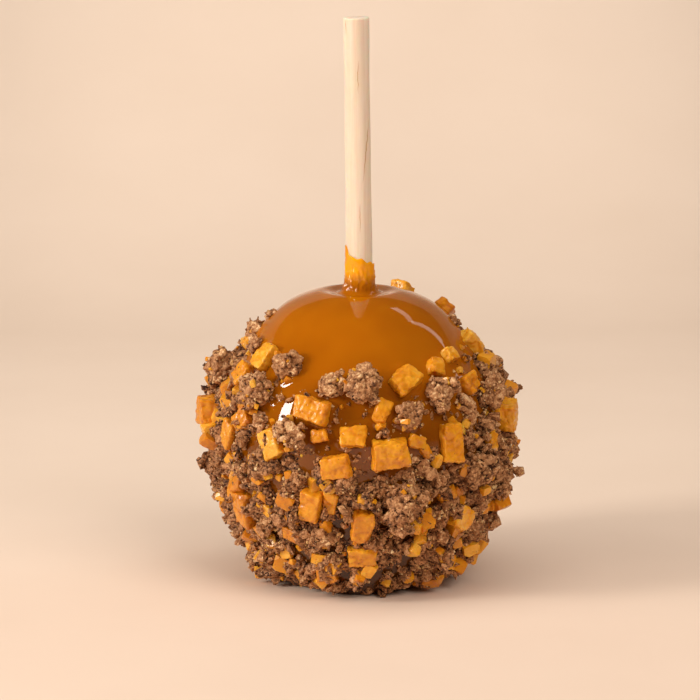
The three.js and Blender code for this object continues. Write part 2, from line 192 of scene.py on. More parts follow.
# %% Camera
CAMERA_PLACE = (0, -978, 242.8)
CAMERA_TARGET = (-2.4, 0, 57.8)
FOCAL_PIXELS = 4000
FRAME_PIXELS = 700


def aim(thing, place, target):
    """Puts a camera or a light at a place, turned to a target."""
    thing.location = Vector(place) * MM
    away = (Vector(target) - Vector(place)) * MM
    thing.rotation_euler = away.to_track_quat("-Z", "Y").to_euler()
    bpy.context.scene.collection.objects.link(thing)


camera = bpy.data.objects.new("camera", bpy.data.cameras.new("camera"))
camera.data.sensor_width = 36
camera.data.lens = camera.data.sensor_width * FOCAL_PIXELS / FRAME_PIXELS
aim(camera, CAMERA_PLACE, CAMERA_TARGET)
bpy.context.scene.camera = camera
print("lens", round(camera.data.lens), "mm")

# %% [markdown]
# The light is that of a small studio. A large soft key stands at the left, a little to the front.
# A narrow strip behind the right shoulder draws the curved streak on the coat. Fill comes from
# the front and above. A fill that the coat would mirror is hidden from glossy rays, because the
# middle of the coat is clear of reflections.

# %% Lights
def soft_light(name, ends, width, watts, colour, mirrored=True):
    """A soft box that looks at the apple. Its length runs between two ends, in millimetres."""
    start, end = (Vector(place) * MM for place in ends)
    data = bpy.data.lights.new(name, "AREA")
    data.shape = "RECTANGLE"
    data.size, data.size_y = (end - start).length, width * MM
    data.energy = watts
    data.color = colour
    light = bpy.data.objects.new(name, data)
    middle = (start + end) / 2
    back = (middle - Vector((0, 0, 45 * MM))).normalized()
    along = (end - start).normalized()
    across = back.cross(along).normalized()
    along = across.cross(back)
    light.matrix_world = Matrix.Translation(middle) @ Matrix((along, across, back)).transposed().to_4x4()
    light.visible_glossy = mirrored
    bpy.context.scene.collection.objects.link(light)
    return light


KEY_WHITE = (1, 0.96, 0.90)
FILL_WHITE = (1, 0.96, 0.92)
soft_light("key", [(-975, -270, 400), (-925, -530, 400)], 360, 7.2, KEY_WHITE)
soft_light("key_spread", [(-1050, 100, 550), (-750, -1000, 550)], 900, 5.4, KEY_WHITE, mirrored=False)
soft_light("strip_back", [(220, 535, 750), (500, 230, 770)], 60, 0.15, KEY_WHITE)
soft_light("strip_side", [(500, 230, 770), (685, 371, 517)], 60, 0.15, KEY_WHITE)
soft_light("fill", [(250, -1250, 950), (1150, -800, 950)], 800, 11.5, FILL_WHITE, mirrored=False)
soft_light("overhead", [(-600, -250, 1300), (600, -250, 1300)], 1200, 6.3, FILL_WHITE, mirrored=False)
wall_light = soft_light("wall_light", [(-700, 40, 900), (900, 40, 900)], 300, 1.3, FILL_WHITE,
                        mirrored=False)
wall_light.rotation_euler = (math.radians(40), 0, 0)

world = bpy.data.worlds.new("studio")
bpy.context.scene.world = world
world.use_nodes = True
world.node_tree.nodes["Background"].inputs["Color"].default_value = (0.07, 0.045, 0.03, 1)
bpy.context.scene.view_settings.view_transform = "Standard"

# %% [markdown]
# ## Materials
#
# Each finish is a small network of nodes. Where a pattern is needed by more than one finish, it
# is a node group with named inputs, built once. All patterns are read in Object coordinates, so
# that they lie still on the pieces.
#
# The first group is a speckle. A Voronoi pattern gives every small cell a random tone, and a
# noise shifts those tones from place to place. Chocolate, toffee and nut all use it, each with
# its own cell size.

# %% Node helpers
def add(tree, kind, **settings):
    """A new node with some of its settings."""
    node = tree.nodes.new(kind)
    for name, value in settings.items():
        setattr(node, name, value)
    return node


def feed(tree, node, **sources):
    """Fills a node's inputs, by name with _ for a space, from sockets or plain values."""
    for name, source in sources.items():
        socket = node.inputs[int(name[1:])] if name[1:].isdigit() else node.inputs[name.replace("_", " ")]
        if isinstance(source, bpy.types.NodeSocket):
            tree.links.new(source, socket)
        else:
            socket.default_value = source
    return node


def math_node(tree, operation, first, second=0.0, **settings):
    """The result of a sum on one or two sockets or numbers."""
    return feed(tree, add(tree, "ShaderNodeMath", operation=operation, **settings),
                i0=first, i1=second).outputs[0]


def ramp(tree, factor, stops):
    """A colour ramp from (position, colour) stops."""
    node = add(tree, "ShaderNodeValToRGB")
    feed(tree, node, Fac=factor)
    elements = node.color_ramp.elements
    while len(elements) < len(stops):
        elements.new(0.5)
    for element, (position, colour) in zip(elements, stops):
        element.position = position
        element.color = (*colour, 1)
    return node.outputs["Color"]


def new_group(name, inputs, outputs):
    """An empty shader node group with (name, kind, value) inputs and (name, kind) outputs."""
    tree = bpy.data.node_groups.new(name, "ShaderNodeTree")
    for label, kind, value in inputs:
        socket = tree.interface.new_socket(label, in_out="INPUT", socket_type=kind)
        if value is not None:
            socket.default_value = value
    for label, kind in outputs:
        tree.interface.new_socket(label, in_out="OUTPUT", socket_type=kind)
    return tree, add(tree, "NodeGroupInput"), add(tree, "NodeGroupOutput")


def speckle_group():
    tree, given, result = new_group(
        "Speckle",
        [("Vector", "NodeSocketVector", None), ("Cells", "NodeSocketFloat", 1000.0),
         ("Drift", "NodeSocketFloat", 0.35)],
        [("Tone", "NodeSocketFloat"), ("Height", "NodeSocketFloat")],
    )
    cells = feed(tree, add(tree, "ShaderNodeTexVoronoi"),
                 Vector=given.outputs["Vector"], Scale=given.outputs["Cells"])
    each = add(tree, "ShaderNodeSeparateColor")
    feed(tree, each, Color=cells.outputs["Color"])
    slow = feed(tree, add(tree, "ShaderNodeTexNoise"), Vector=given.outputs["Vector"],
                Scale=math_node(tree, "MULTIPLY", given.outputs["Cells"], 0.22), Detail=3.0)
    pull = math_node(tree, "MULTIPLY", math_node(tree, "SUBTRACT", slow.outputs["Fac"], 0.5),
                     math_node(tree, "MULTIPLY", given.outputs["Drift"], 4.0))
    tone = math_node(tree, "ADD", each.outputs[0], pull, use_clamp=True)
    height = math_node(tree, "SUBTRACT", 1.0, cells.outputs["Distance"], use_clamp=True)
    feed(tree, result, Tone=tone, Height=height)
    return tree


speckle = speckle_group()

# %% [markdown]
# The second group makes pits: small round hollows, scattered so that most places have none.
# Broken toffee has them from trapped air. The cut end of the stick has pores too, but only the toffee
# uses this group.

# %% Pits
def pits_group():
    tree, given, result = new_group(
        "Pits",
        [("Vector", "NodeSocketVector", None), ("Cells", "NodeSocketFloat", 600.0),
         ("Size", "NodeSocketFloat", 0.3)],
        [("Hollow", "NodeSocketFloat")],
    )
    cells = feed(tree, add(tree, "ShaderNodeTexVoronoi"),
                 Vector=given.outputs["Vector"], Scale=given.outputs["Cells"])
    each = add(tree, "ShaderNodeSeparateColor")
    feed(tree, each, Color=cells.outputs["Color"])
    reach = math_node(tree, "MULTIPLY", each.outputs[1], given.outputs["Size"])
    inside = math_node(tree, "SUBTRACT", reach, cells.outputs["Distance"])
    hollow = math_node(tree, "MULTIPLY", inside, 6.0, use_clamp=True)
    feed(tree, result, Hollow=hollow)
    return tree


pits = pits_group()


def place_group(tree, group, **sources):
    node = add(tree, "ShaderNodeGroup", node_tree=group)
    return feed(tree, node, **sources)


def new_material(name, **surface):
    """A material with one Principled surface, and the values of that surface's own sockets."""
    material = bpy.data.materials.new(name)
    material.use_nodes = True
    tree = material.node_tree
    shader = tree.nodes["Principled BSDF"]
    for label, value in surface.items():
        shader.inputs[label.replace("_", " ")].default_value = value
    where = add(tree, "ShaderNodeTexCoord").outputs["Object"]
    return material, tree, shader, where


def bumped(tree, shader, height, distance, strength=1.0):
    bump = feed(tree, add(tree, "ShaderNodeBump"), Height=height, Distance=distance,
                Strength=strength)
    feed(tree, shader, Normal=bump.outputs["Normal"])


# %% [markdown]
# ** Caramel.** A clear amber layer over the apple. It could be real glass over a core, but the
# light inside would cost far more than it shows. A deep amber surface with a little subsurface
# scattering, under a clear mirror-smooth coat, looks the same. Where the caramel climbs the pale
# stick it is thin, and turns orange. Lower down the amber is painted darker towards the foot, as
# painted shade.

# %% Caramel
def caramel_finish():
    material, tree, shader, where = new_material(
        "caramel", Roughness=0.4, Specular_IOR_Level=0.0, Coat_Weight=1.0, Coat_Roughness=0.03,
        Coat_IOR=1.5, Subsurface_Weight=0.2, Subsurface_Scale=0.003,
    )
    shader.inputs["Subsurface Radius"].default_value = (1.0, 0.35, 0.05)
    slow = feed(tree, add(tree, "ShaderNodeTexNoise"), Vector=where, Scale=55.0, Detail=2.0)
    amber = ramp(tree, slow.outputs["Fac"], [
        (0.3, (0.31, 0.079, 0.0008)), (0.5, (0.37, 0.098, 0.0010)), (0.7, (0.42, 0.118, 0.0014)),
    ])
    split = feed(tree, add(tree, "ShaderNodeSeparateXYZ"), Vector=where)
    # Painted shade: below the middle the amber is made darker, and darker again near the foot.
    depth = feed(tree, add(tree, "ShaderNodeMapRange", interpolation_type="SMOOTHSTEP"),
                 Value=split.outputs["Z"], From_Min=37 * MM, From_Max=60 * MM, To_Min=0.56)
    under = feed(tree, add(tree, "ShaderNodeMapRange", interpolation_type="SMOOTHSTEP"),
                 Value=split.outputs["Z"], From_Min=20 * MM, From_Max=33 * MM, To_Min=0.3)
    shade = math_node(tree, "MULTIPLY", depth.outputs["Result"], under.outputs["Result"])
    amber_with_painted_shade = feed(tree, add(tree, "ShaderNodeVectorMath", operation="SCALE"), i0=amber, Scale=shade)
    thin = feed(tree, add(tree, "ShaderNodeMapRange", interpolation_type="SMOOTHSTEP"),
                Value=split.outputs["Z"], From_Min=74 * MM, From_Max=78.5 * MM)
    quick = feed(tree, add(tree, "ShaderNodeTexNoise"), Vector=where, Scale=200.0, Detail=2.0)
    orange = ramp(tree, quick.outputs["Fac"], [
        (0.35, (0.78, 0.24, 0.002)), (0.65, (0.94, 0.37, 0.006)),
    ])
    mixed = add(tree, "ShaderNodeMix", data_type="RGBA")
    feed(tree, mixed, i0=thin.outputs["Result"], i6=amber_with_painted_shade.outputs[0], i7=orange)
    feed(tree, shader, Base_Color=mixed.outputs[2])
    return material


caramel = caramel_finish()

# %% [markdown]
# **Butter toffee.** Opaque and waxy, orange where it snapped, paler where sugar has dusted it.
# Every piece carries its own tone, kept in an attribute of its mesh, so that no two neighbours
# have quite the same orange. On the blocks that tone also holds painted shade, darker in creases and
# lighter on ridges, and the pits are painted darker, as painted shade inside them.

# %% Toffee
def toffee_finish():
    material, tree, shader, where = new_material(
        "butter_toffee", Subsurface_Weight=0.22, Subsurface_Scale=0.0022, Coat_Weight=0.3,
        Coat_Roughness=0.18,
    )
    shader.inputs["Subsurface Radius"].default_value = (1.0, 0.4, 0.08)
    tone_and_painted_shade = add(tree, "ShaderNodeAttribute", attribute_name="tone").outputs["Fac"]
    fleck = place_group(tree, speckle, Vector=where, Cells=1500.0, Drift=0.5)
    slow = feed(tree, add(tree, "ShaderNodeTexNoise"), Vector=where, Scale=260.0, Detail=4.0)
    blend = math_node(tree, "ADD", math_node(tree, "MULTIPLY", tone_and_painted_shade, 0.5),
                      math_node(tree, "MULTIPLY", slow.outputs["Fac"], 0.7))
    blend = math_node(tree, "ADD", blend, math_node(tree, "MULTIPLY", fleck.outputs["Tone"], 0.12))
    colour = ramp(tree, blend, [
        (0.30, (0.47, 0.13, 0.003)), (0.50, (0.65, 0.225, 0.005)), (0.75, (0.76, 0.32, 0.011)),
        (0.97, (0.86, 0.46, 0.06)),
    ])
    holes = place_group(tree, pits, Vector=where, Cells=900.0, Size=0.34)
    # Painted shade: the pits are painted darker, besides being sunk by the bump.
    pits_with_painted_shade = add(tree, "ShaderNodeMix", data_type="RGBA", blend_type="MULTIPLY")
    feed(tree, pits_with_painted_shade, i0=math_node(tree, "MULTIPLY", holes.outputs["Hollow"], 0.3), i6=colour,
         i7=(0.45, 0.25, 0.12, 1))
    feed(tree, shader, Base_Color=pits_with_painted_shade.outputs[2],
         Roughness=math_node(tree, "ADD", 0.30, math_node(tree, "MULTIPLY", fleck.outputs["Tone"], 0.25)))
    relief = math_node(tree, "SUBTRACT", math_node(tree, "MULTIPLY", fleck.outputs["Height"], 0.35),
                       holes.outputs["Hollow"])
    bumped(tree, shader, relief, 0.0001)
    return material


toffee = toffee_finish()

# %% [markdown]
# ** Chocolate crumble.** Milk chocolate ground with biscuit and nut. Close up it is a crowd of
# grains from nearly black to tan, with dull sides and a few that glint. The speckle gives the
# grains, and the tone of each piece shifts the whole. That tone also carries painted shade: it is
# darker in creases and dips and on lumps low on the apple, and lighter on peaks.

# %% Chocolate and nut
def crumb_finish(name, stops, tone_share, cells, glint):
    material, tree, shader, where = new_material(name)
    tone_and_painted_shade = add(tree, "ShaderNodeAttribute", attribute_name="tone").outputs["Fac"]
    fleck = place_group(tree, speckle, Vector=where, Cells=cells, Drift=0.35)
    fine = feed(tree, add(tree, "ShaderNodeTexNoise"), Vector=where, Scale=3800.0, Detail=2.0)
    blend = math_node(tree, "ADD", math_node(tree, "MULTIPLY", tone_and_painted_shade, tone_share),
                      math_node(tree, "MULTIPLY", fleck.outputs["Tone"], 1 - tone_share))
    feed(tree, shader, Base_Color=ramp(tree, blend, stops))
    rough = math_node(tree, "SUBTRACT", 0.85, math_node(tree, "MULTIPLY", fleck.outputs["Tone"], glint))
    feed(tree, shader, Roughness=rough)
    relief = math_node(tree, "ADD", fleck.outputs["Height"],
                       math_node(tree, "MULTIPLY", fine.outputs["Fac"], 0.6))
    bumped(tree, shader, relief, 0.00025)
    return material


# The nearly black first stop is what the painted shade of creases and dips reaches, as well as the
# darkest crumbs.
CHOCOLATE_TONES_AND_SHADE = [
    (0.12, (0.030, 0.007, 0.0015)), (0.32, (0.200, 0.078, 0.026)), (0.55, (0.400, 0.172, 0.066)),
    (0.80, (0.580, 0.280, 0.115)), (0.97, (0.780, 0.490, 0.240)),
]
NUT_TONES = [(0.1, (0.50, 0.25, 0.075)), (0.5, (0.70, 0.42, 0.16)), (0.95, (0.88, 0.66, 0.38))]
chocolate = crumb_finish("chocolate_crumble", CHOCOLATE_TONES_AND_SHADE, 0.45, 1900.0, 0.4)
nut = crumb_finish("ground_nut", NUT_TONES, 0.6, 1500.0, 0.3)

# %% [markdown]
# ** Wood.** A birch dowel is pale, with fibres that run along it and a few short brown flecks
# where a vein was cut. The fibres are a noise that is stretched along the stick by a Mapping
# node. Each fleck is placed one by one, because an eye finds them at once.

# %% Wood
FLECKS = [
    # mm towards +X at its foot, lowest and highest mm, slant, half width
    (-0.43, 122.2, 130.6, 0.0, 0.15),
    (0.75, 99.8, 116.2, -0.095, 0.18),
    (0.07, 87.5, 95.2, 0.0, 0.14),
    (-3.35, 136.6, 140.6, 0.02, 0.12),
]


def fleck_group():
    tree, given, result = new_group(
        "Fleck",
        [("Vector", "NodeSocketVector", None), ("Side", "NodeSocketFloat", 0.0),
         ("Low", "NodeSocketFloat", 0.0), ("High", "NodeSocketFloat", 0.01),
         ("Slant", "NodeSocketFloat", 0.0), ("Half width", "NodeSocketFloat", 0.0002)],
        [("Mask", "NodeSocketFloat")],
    )
    split = feed(tree, add(tree, "ShaderNodeSeparateXYZ"), Vector=given.outputs["Vector"])
    x, y, z = split.outputs
    low, high = given.outputs["Low"], given.outputs["High"]
    rise = math_node(tree, "SUBTRACT", z, low)
    lean = math_node(tree, "MULTIPLY", rise, given.outputs["Slant"])
    wobble = feed(tree, add(tree, "ShaderNodeTexNoise"), Vector=given.outputs["Vector"], Scale=500.0)
    middle = math_node(tree, "ADD", math_node(tree, "SUBTRACT", x, given.outputs["Side"]), lean)
    middle = math_node(tree, "ADD", middle, math_node(
        tree, "MULTIPLY", math_node(tree, "SUBTRACT", wobble.outputs["Fac"], 0.5), 0.0005))
    across = math_node(tree, "DIVIDE", math_node(tree, "ABSOLUTE", middle), given.outputs["Half width"])
    along = math_node(tree, "DIVIDE", rise, math_node(tree, "SUBTRACT", high, low))
    ends = math_node(tree, "MULTIPLY", math_node(tree, "MULTIPLY", along,
                     math_node(tree, "SUBTRACT", 1.0, along)), 4.0, use_clamp=True)
    inside = math_node(tree, "SUBTRACT", math_node(tree, "POWER", ends, 0.5), across, use_clamp=True)
    front = math_node(tree, "LESS_THAN", y, 0.0)
    feed(tree, result, Mask=math_node(tree, "MULTIPLY", inside, front))
    return tree


fleck = fleck_group()


def wood_finish():
    material, tree, shader, where = new_material(
        "birch", Roughness=0.62, Subsurface_Weight=0.5, Subsurface_Scale=0.003,
    )
    stretch = add(tree, "ShaderNodeMapping")
    feed(tree, stretch, Vector=where, Scale=(1.0, 1.0, 0.03))
    fibre = feed(tree, add(tree, "ShaderNodeTexNoise"), Vector=stretch.outputs["Vector"],
                 Scale=2600.0, Detail=5.0, Roughness=0.65)
    band = feed(tree, add(tree, "ShaderNodeTexNoise"), Vector=stretch.outputs["Vector"],
                Scale=520.0, Detail=2.0)
    blend = math_node(tree, "ADD", math_node(tree, "MULTIPLY", fibre.outputs["Fac"], 0.5),
                      math_node(tree, "MULTIPLY", band.outputs["Fac"], 0.5))
    colour = ramp(tree, blend, [
        (0.30, (0.73, 0.55, 0.38)), (0.45, (0.80, 0.64, 0.475)), (0.60, (0.84, 0.70, 0.545)),
    ])
    for side, low, high, slant, half_width in FLECKS:
        mask = place_group(tree, fleck, Vector=where, Side=side * MM, Low=low * MM, High=high * MM,
                           Slant=slant, Half_width=half_width * MM)
        brown = add(tree, "ShaderNodeMix", data_type="RGBA")
        feed(tree, brown, i0=mask.outputs["Mask"], i6=colour, i7=(0.50, 0.24, 0.06, 1))
        colour = brown.outputs[2]
    feed(tree, shader, Base_Color=colour)
    bumped(tree, shader, fibre.outputs["Fac"], 0.00012)
    return material


wood = wood_finish()


def paper_finish():
    material, tree, shader, where = new_material("peach_paper", Roughness=0.9)
    slow = feed(tree, add(tree, "ShaderNodeTexNoise"), Vector=where, Scale=14.0, Detail=6.0)
    plain = ramp(tree, slow.outputs["Fac"], [
        (0.3, (0.845, 0.675, 0.535)), (0.7, (0.875, 0.705, 0.565)),
    ])
    split = feed(tree, add(tree, "ShaderNodeSeparateXYZ"), Vector=where)
    # Painted light: the floor in front of the apple is tinted warmer and a little darker, as painted warm
    # bounce light.
    nearness = feed(tree, add(tree, "ShaderNodeMapRange", interpolation_type="SMOOTHSTEP"),
                    Value=split.outputs["Y"], From_Min=120 * MM, From_Max=-80 * MM)
    painted_warm_bounce = add(tree, "ShaderNodeMix", data_type="RGBA", blend_type="MULTIPLY")
    feed(tree, painted_warm_bounce, i0=nearness.outputs["Result"], i6=plain, i7=(0.98, 0.94, 0.92, 1))
    # Painted shade: away from the apple, to the sides and upwards, the paper is painted darker, down to
    # 0.42 of its colour.
    flat = feed(tree, add(tree, "ShaderNodeCombineXYZ"), X=split.outputs["X"],
                Z=split.outputs["Z"])
    aside = feed(tree, add(tree, "ShaderNodeVectorMath", operation="LENGTH"), i0=flat.outputs[0])
    away = feed(tree, add(tree, "ShaderNodeMapRange", interpolation_type="SMOOTHSTEP"),
                Value=aside.outputs["Value"], From_Min=0.07, From_Max=0.36, To_Min=1.0, To_Max=0.42)
    paper_with_painted_falloff = feed(tree, add(tree, "ShaderNodeVectorMath", operation="SCALE"), i0=painted_warm_bounce.outputs[2],
                  Scale=away.outputs["Result"])
    behind_it = add(tree, "ShaderNodeNewGeometry").outputs["Backfacing"]
    feed(tree, shader, Base_Color=paper_with_painted_falloff.outputs[0],
         Alpha=math_node(tree, "SUBTRACT", 1.0, behind_it))
    return material


paper.data.materials.append(paper_finish())
print(len(bpy.data.materials), "materials")

# %% [markdown]
# ## The caramel coat
#
# The coat is one closed skin from the foot to the tongue of caramel on the stick. It could be
# sculpted, but a turned shape follows its outline exactly, and stays inside its solid. Rings of
# points are laid round the axis, and every point is then moved a little: outwards by slow waves,
# because dipped caramel never sets quite even, and outwards again beside each topping, where the
# caramel was pushed up and now catches the light.

# %% Meshes from rings
def ring_mesh(name, rings, low_pole, high_pole):
    """A closed mesh from rings of points in millimetres, each ring the same length."""
    count = rings.shape[1]
    points = np.vstack([[low_pole], rings.reshape(-1, 3), [high_pole]]) * MM
    place = np.arange(count)
    beside = (place + 1) % count
    faces = []
    for ring in range(len(rings) - 1):
        low, high = 1 + ring * count, 1 + (ring + 1) * count
        faces += np.stack([low + place, low + beside, high + beside, high + place], 1).tolist()
    last = 1 + (len(rings) - 1) * count
    faces += np.stack([0 * place, 1 + beside, 1 + place], 1).tolist()
    faces += np.stack([last + place, last + beside, 0 * place + len(points) - 1], 1).tolist()
    mesh = bpy.data.meshes.new(name)
    mesh.from_pydata(points.tolist(), [], faces)
    mesh.shade_smooth()
    return mesh


def new_piece(name, mesh):
    piece = bpy.data.objects.new(name, mesh)
    bpy.context.scene.collection.objects.link(piece)
    return piece


def dress(piece, slot, material, *nodes):
    """Gives a piece its finish and its body, and hides the solids that it stands for. The slot is not
    used.
    """
    piece.data.materials.clear()
    piece.data.materials.append(material)
    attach(piece, "root")
    if nodes:
        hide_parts(*nodes)
    return piece


def set_attribute(mesh, name, values):
    """Keeps one number for each point of a mesh."""
    layer = mesh.attributes.new(name, "FLOAT", "POINT")
    layer.data.foreach_set("value", np.ascontiguousarray(values, np.float32))


toffee_nodes = sorted(name for name in frame["nodes"] if name.startswith("toffee_"))
chocolate_nodes = sorted(name for name in frame["nodes"] if name.startswith("chocolate_"))


def merged(*nodes):
    """The meshes of CAD nodes as one bmesh, with their doubled points merged."""
    bm = bmesh.new()
    for node in nodes:
        bm.from_mesh(frame["nodes"][node].data)
    bmesh.ops.remove_doubles(bm, verts=bm.verts, dist=1e-6)
    return bm


solids = merged(*toffee_nodes, *chocolate_nodes)
nearest_topping = bvhtree.BVHTree.FromBMesh(solids)
solids.free()
print(len(toffee_nodes), "toffee and", len(chocolate_nodes), "chocolate solids")

# %% The coat
COAT_BEARINGS = 340
COAT_RINGS = 250
MENISCUS_HEIGHT = 0.55
MENISCUS_REACH = 1.1
SPRINKLE_REACH = 1.9
SPRINKLE_LEAST = 0.1
BARE_FRONT = 17


def wander(points, size, seed):
    """Smooth noise of about -1 to 1, from many slanted waves that are about one size long."""
    waves = np.random.default_rng(seed)
    ways = waves.normal(size=(32, 3))
    ways *= (2 * np.pi / size * waves.uniform(0.6, 1.4, 32) / np.linalg.norm(ways, axis=1))[:, None]
    return np.cos(points @ ways.T + waves.uniform(0, 6.28, 32)).sum(-1) / 4


def slow_waves(bearing, height):
    """Unevenness of the set caramel, in millimetres."""
    return (
        0.13 * np.sin(3 * bearing + 0.11 * height + 1.2)
        + 0.10 * np.sin(5 * bearing - 0.16 * height)
        + 0.07 * np.sin(8 * bearing + 0.07 * height + 2.0)
    )


def coat_radius(bearing, radius, height):
    """The coat's true radius where its outline has a radius."""
    shoulder = 1 - smooth(height, SHOULDER_HEIGHT - 8, SHOULDER_HEIGHT)
    return radius * lobes(bearing, height) + shoulder * slow_waves(bearing, height)


def caramel_coat():
    profile = outline_points(OUTLINE, COAT_RINGS)
    bearing = np.arange(COAT_BEARINGS) * 2 * np.pi / COAT_BEARINGS
    bearing, radius = np.meshgrid(bearing, profile[:, 0])
    height = np.broadcast_to(profile[:, 1:], radius.shape)
    climb = smooth(height, SHOULDER_HEIGHT + 2, SHEATH_TOP)
    tongue = SHEATH_TONGUE * np.maximum(0, np.cos(bearing + np.pi / 2)) ** 3
    tongue += 1.7 * np.maximum(0, np.cos(bearing + 0.3))
    edge = 0.2 * np.sin(5 * bearing + 2) + 0.22 * np.sin(9 * bearing)
    rings = around(coat_radius(bearing, radius, height), bearing, 0)
    rings[..., 2] = height + climb * (tongue + edge)
    drips = smooth(height, SHOULDER_HEIGHT, SHOULDER_HEIGHT + 1) * 0.07 * wander(rings, 2.6, 5)
    foot = smooth(height, SHOULDER_HEIGHT, SHOULDER_HEIGHT + 1)
    foot *= 1 - smooth(height, SHOULDER_HEIGHT + 4, SHOULDER_HEIGHT + 7)
    drips += foot * 0.09 * wander(rings, 1.3, 6)
    rings[..., :2] *= (1 + drips / np.maximum(radius, 1))[..., None]
    gaps = np.full(rings[..., 0].size, 99.0)
    for place, point in enumerate(rings.reshape(-1, 3)):
        near, _, _, distance = nearest_topping.find_nearest(Vector(point) * MM, 6 * MM)
        if near is None or point[2] > SHOULDER_HEIGHT:
            continue
        gaps[place] = distance / MM
        swell = MENISCUS_HEIGHT * math.exp(-((gaps[place] / MENISCUS_REACH) ** 2))
        point[:2] *= 1 + swell / np.linalg.norm(point[:2])
    rings[0, :, 2] = 0
    mesh = ring_mesh("caramel_coat", rings, (0, 0, 0), (0, 0, SHEATH_TOP - 1))
    topped = smooth(below_line(bearing, radius, height, BARE_FRONT), 2, 8).ravel()
    beside = np.exp(-((gaps / SPRINKLE_REACH) ** 2))
    sprinkle = topped * (SPRINKLE_LEAST + (1 - SPRINKLE_LEAST) * beside)
    sprinkle *= smooth(height.ravel(), 2, 5)
    set_attribute(mesh, "sprinkle", np.concatenate([[0], sprinkle, [0]]))
    return mesh


coat = dress(new_piece("caramel_coat", caramel_coat()), "caramel", caramel, "caramel_apple")
print("coat has", len(coat.data.polygons), "faces")

# %% [markdown]
# ## The stick
#
# A dowel is cut from a planed strip, so it is not quite round and not quite even. The solid has
# 24 flat sides, which would show on a bare stick. This piece is turned again from the same sizes
# with many more sides, and with worn edges at the top.

# %% The stick
def stick():
    sides, steps = 72, 90
    edge = [(0.0, -0.45), (0.06, -0.2), (0.22, -0.04), (0.5, 0.0)]
    middle = [(low, 0.0) for low in np.linspace(2, STICK_LENGTH - 2, steps)]
    top = [(STICK_LENGTH - low, inset) for low, inset in reversed(edge)]
    rings = []
    for height, inset in edge + middle + top:
        bearing = np.arange(sides) * 2 * np.pi / sides
        uneven = 0.07 * np.sin(2 * bearing + 0.08 * height) + 0.05 * np.sin(0.24 * height)
        planed = 0.02 * np.sin(9 * bearing + 0.05 * height)
        rings.append(around(STICK_RADIUS + inset + uneven + planed, bearing, height))
    mesh = ring_mesh("stick_birch", np.array(rings), (0, 0, 0), (0, 0, STICK_LENGTH))
    embedded = STICK_LENGTH - (STICK_TOP - SHOULDER_HEIGHT)
    lean = Matrix.Rotation(STICK_LEAN, 4, "Y")
    foot = Vector((-embedded * math.sin(STICK_LEAN), 0,
                   SHOULDER_HEIGHT - embedded * math.cos(STICK_LEAN))) * MM
    mesh.transform(Matrix.Translation(foot) @ lean)
    return mesh


dress(new_piece("stick_birch", stick()), "wood", wood, "stick")

# %% [markdown]
# ## Broken toffee
#
# Toffee snaps into blocks with flat sides, sharp corners and small chips. Each block starts as a
# copy of its solid. A bevel takes the edge off the corners, a voxel remesh gives the block an
# even skin of small faces, and a Geometry Nodes tree then roughens that skin. The same tree
# roughens the chocolate, with other sizes.

# %% Rough skin
def geometry_tree(name, inputs):
    """A Geometry Nodes tree with a Geometry input and output, and other named inputs."""
    tree = bpy.data.node_groups.new(name, "GeometryNodeTree")
    tree.interface.new_socket("Geometry", in_out="OUTPUT", socket_type="NodeSocketGeometry")
    tree.interface.new_socket("Geometry", in_out="INPUT", socket_type="NodeSocketGeometry")
    for label, kind in inputs:
        tree.interface.new_socket(label, in_out="INPUT", socket_type=kind)
    return tree, add(tree, "NodeGroupInput"), add(tree, "NodeGroupOutput")


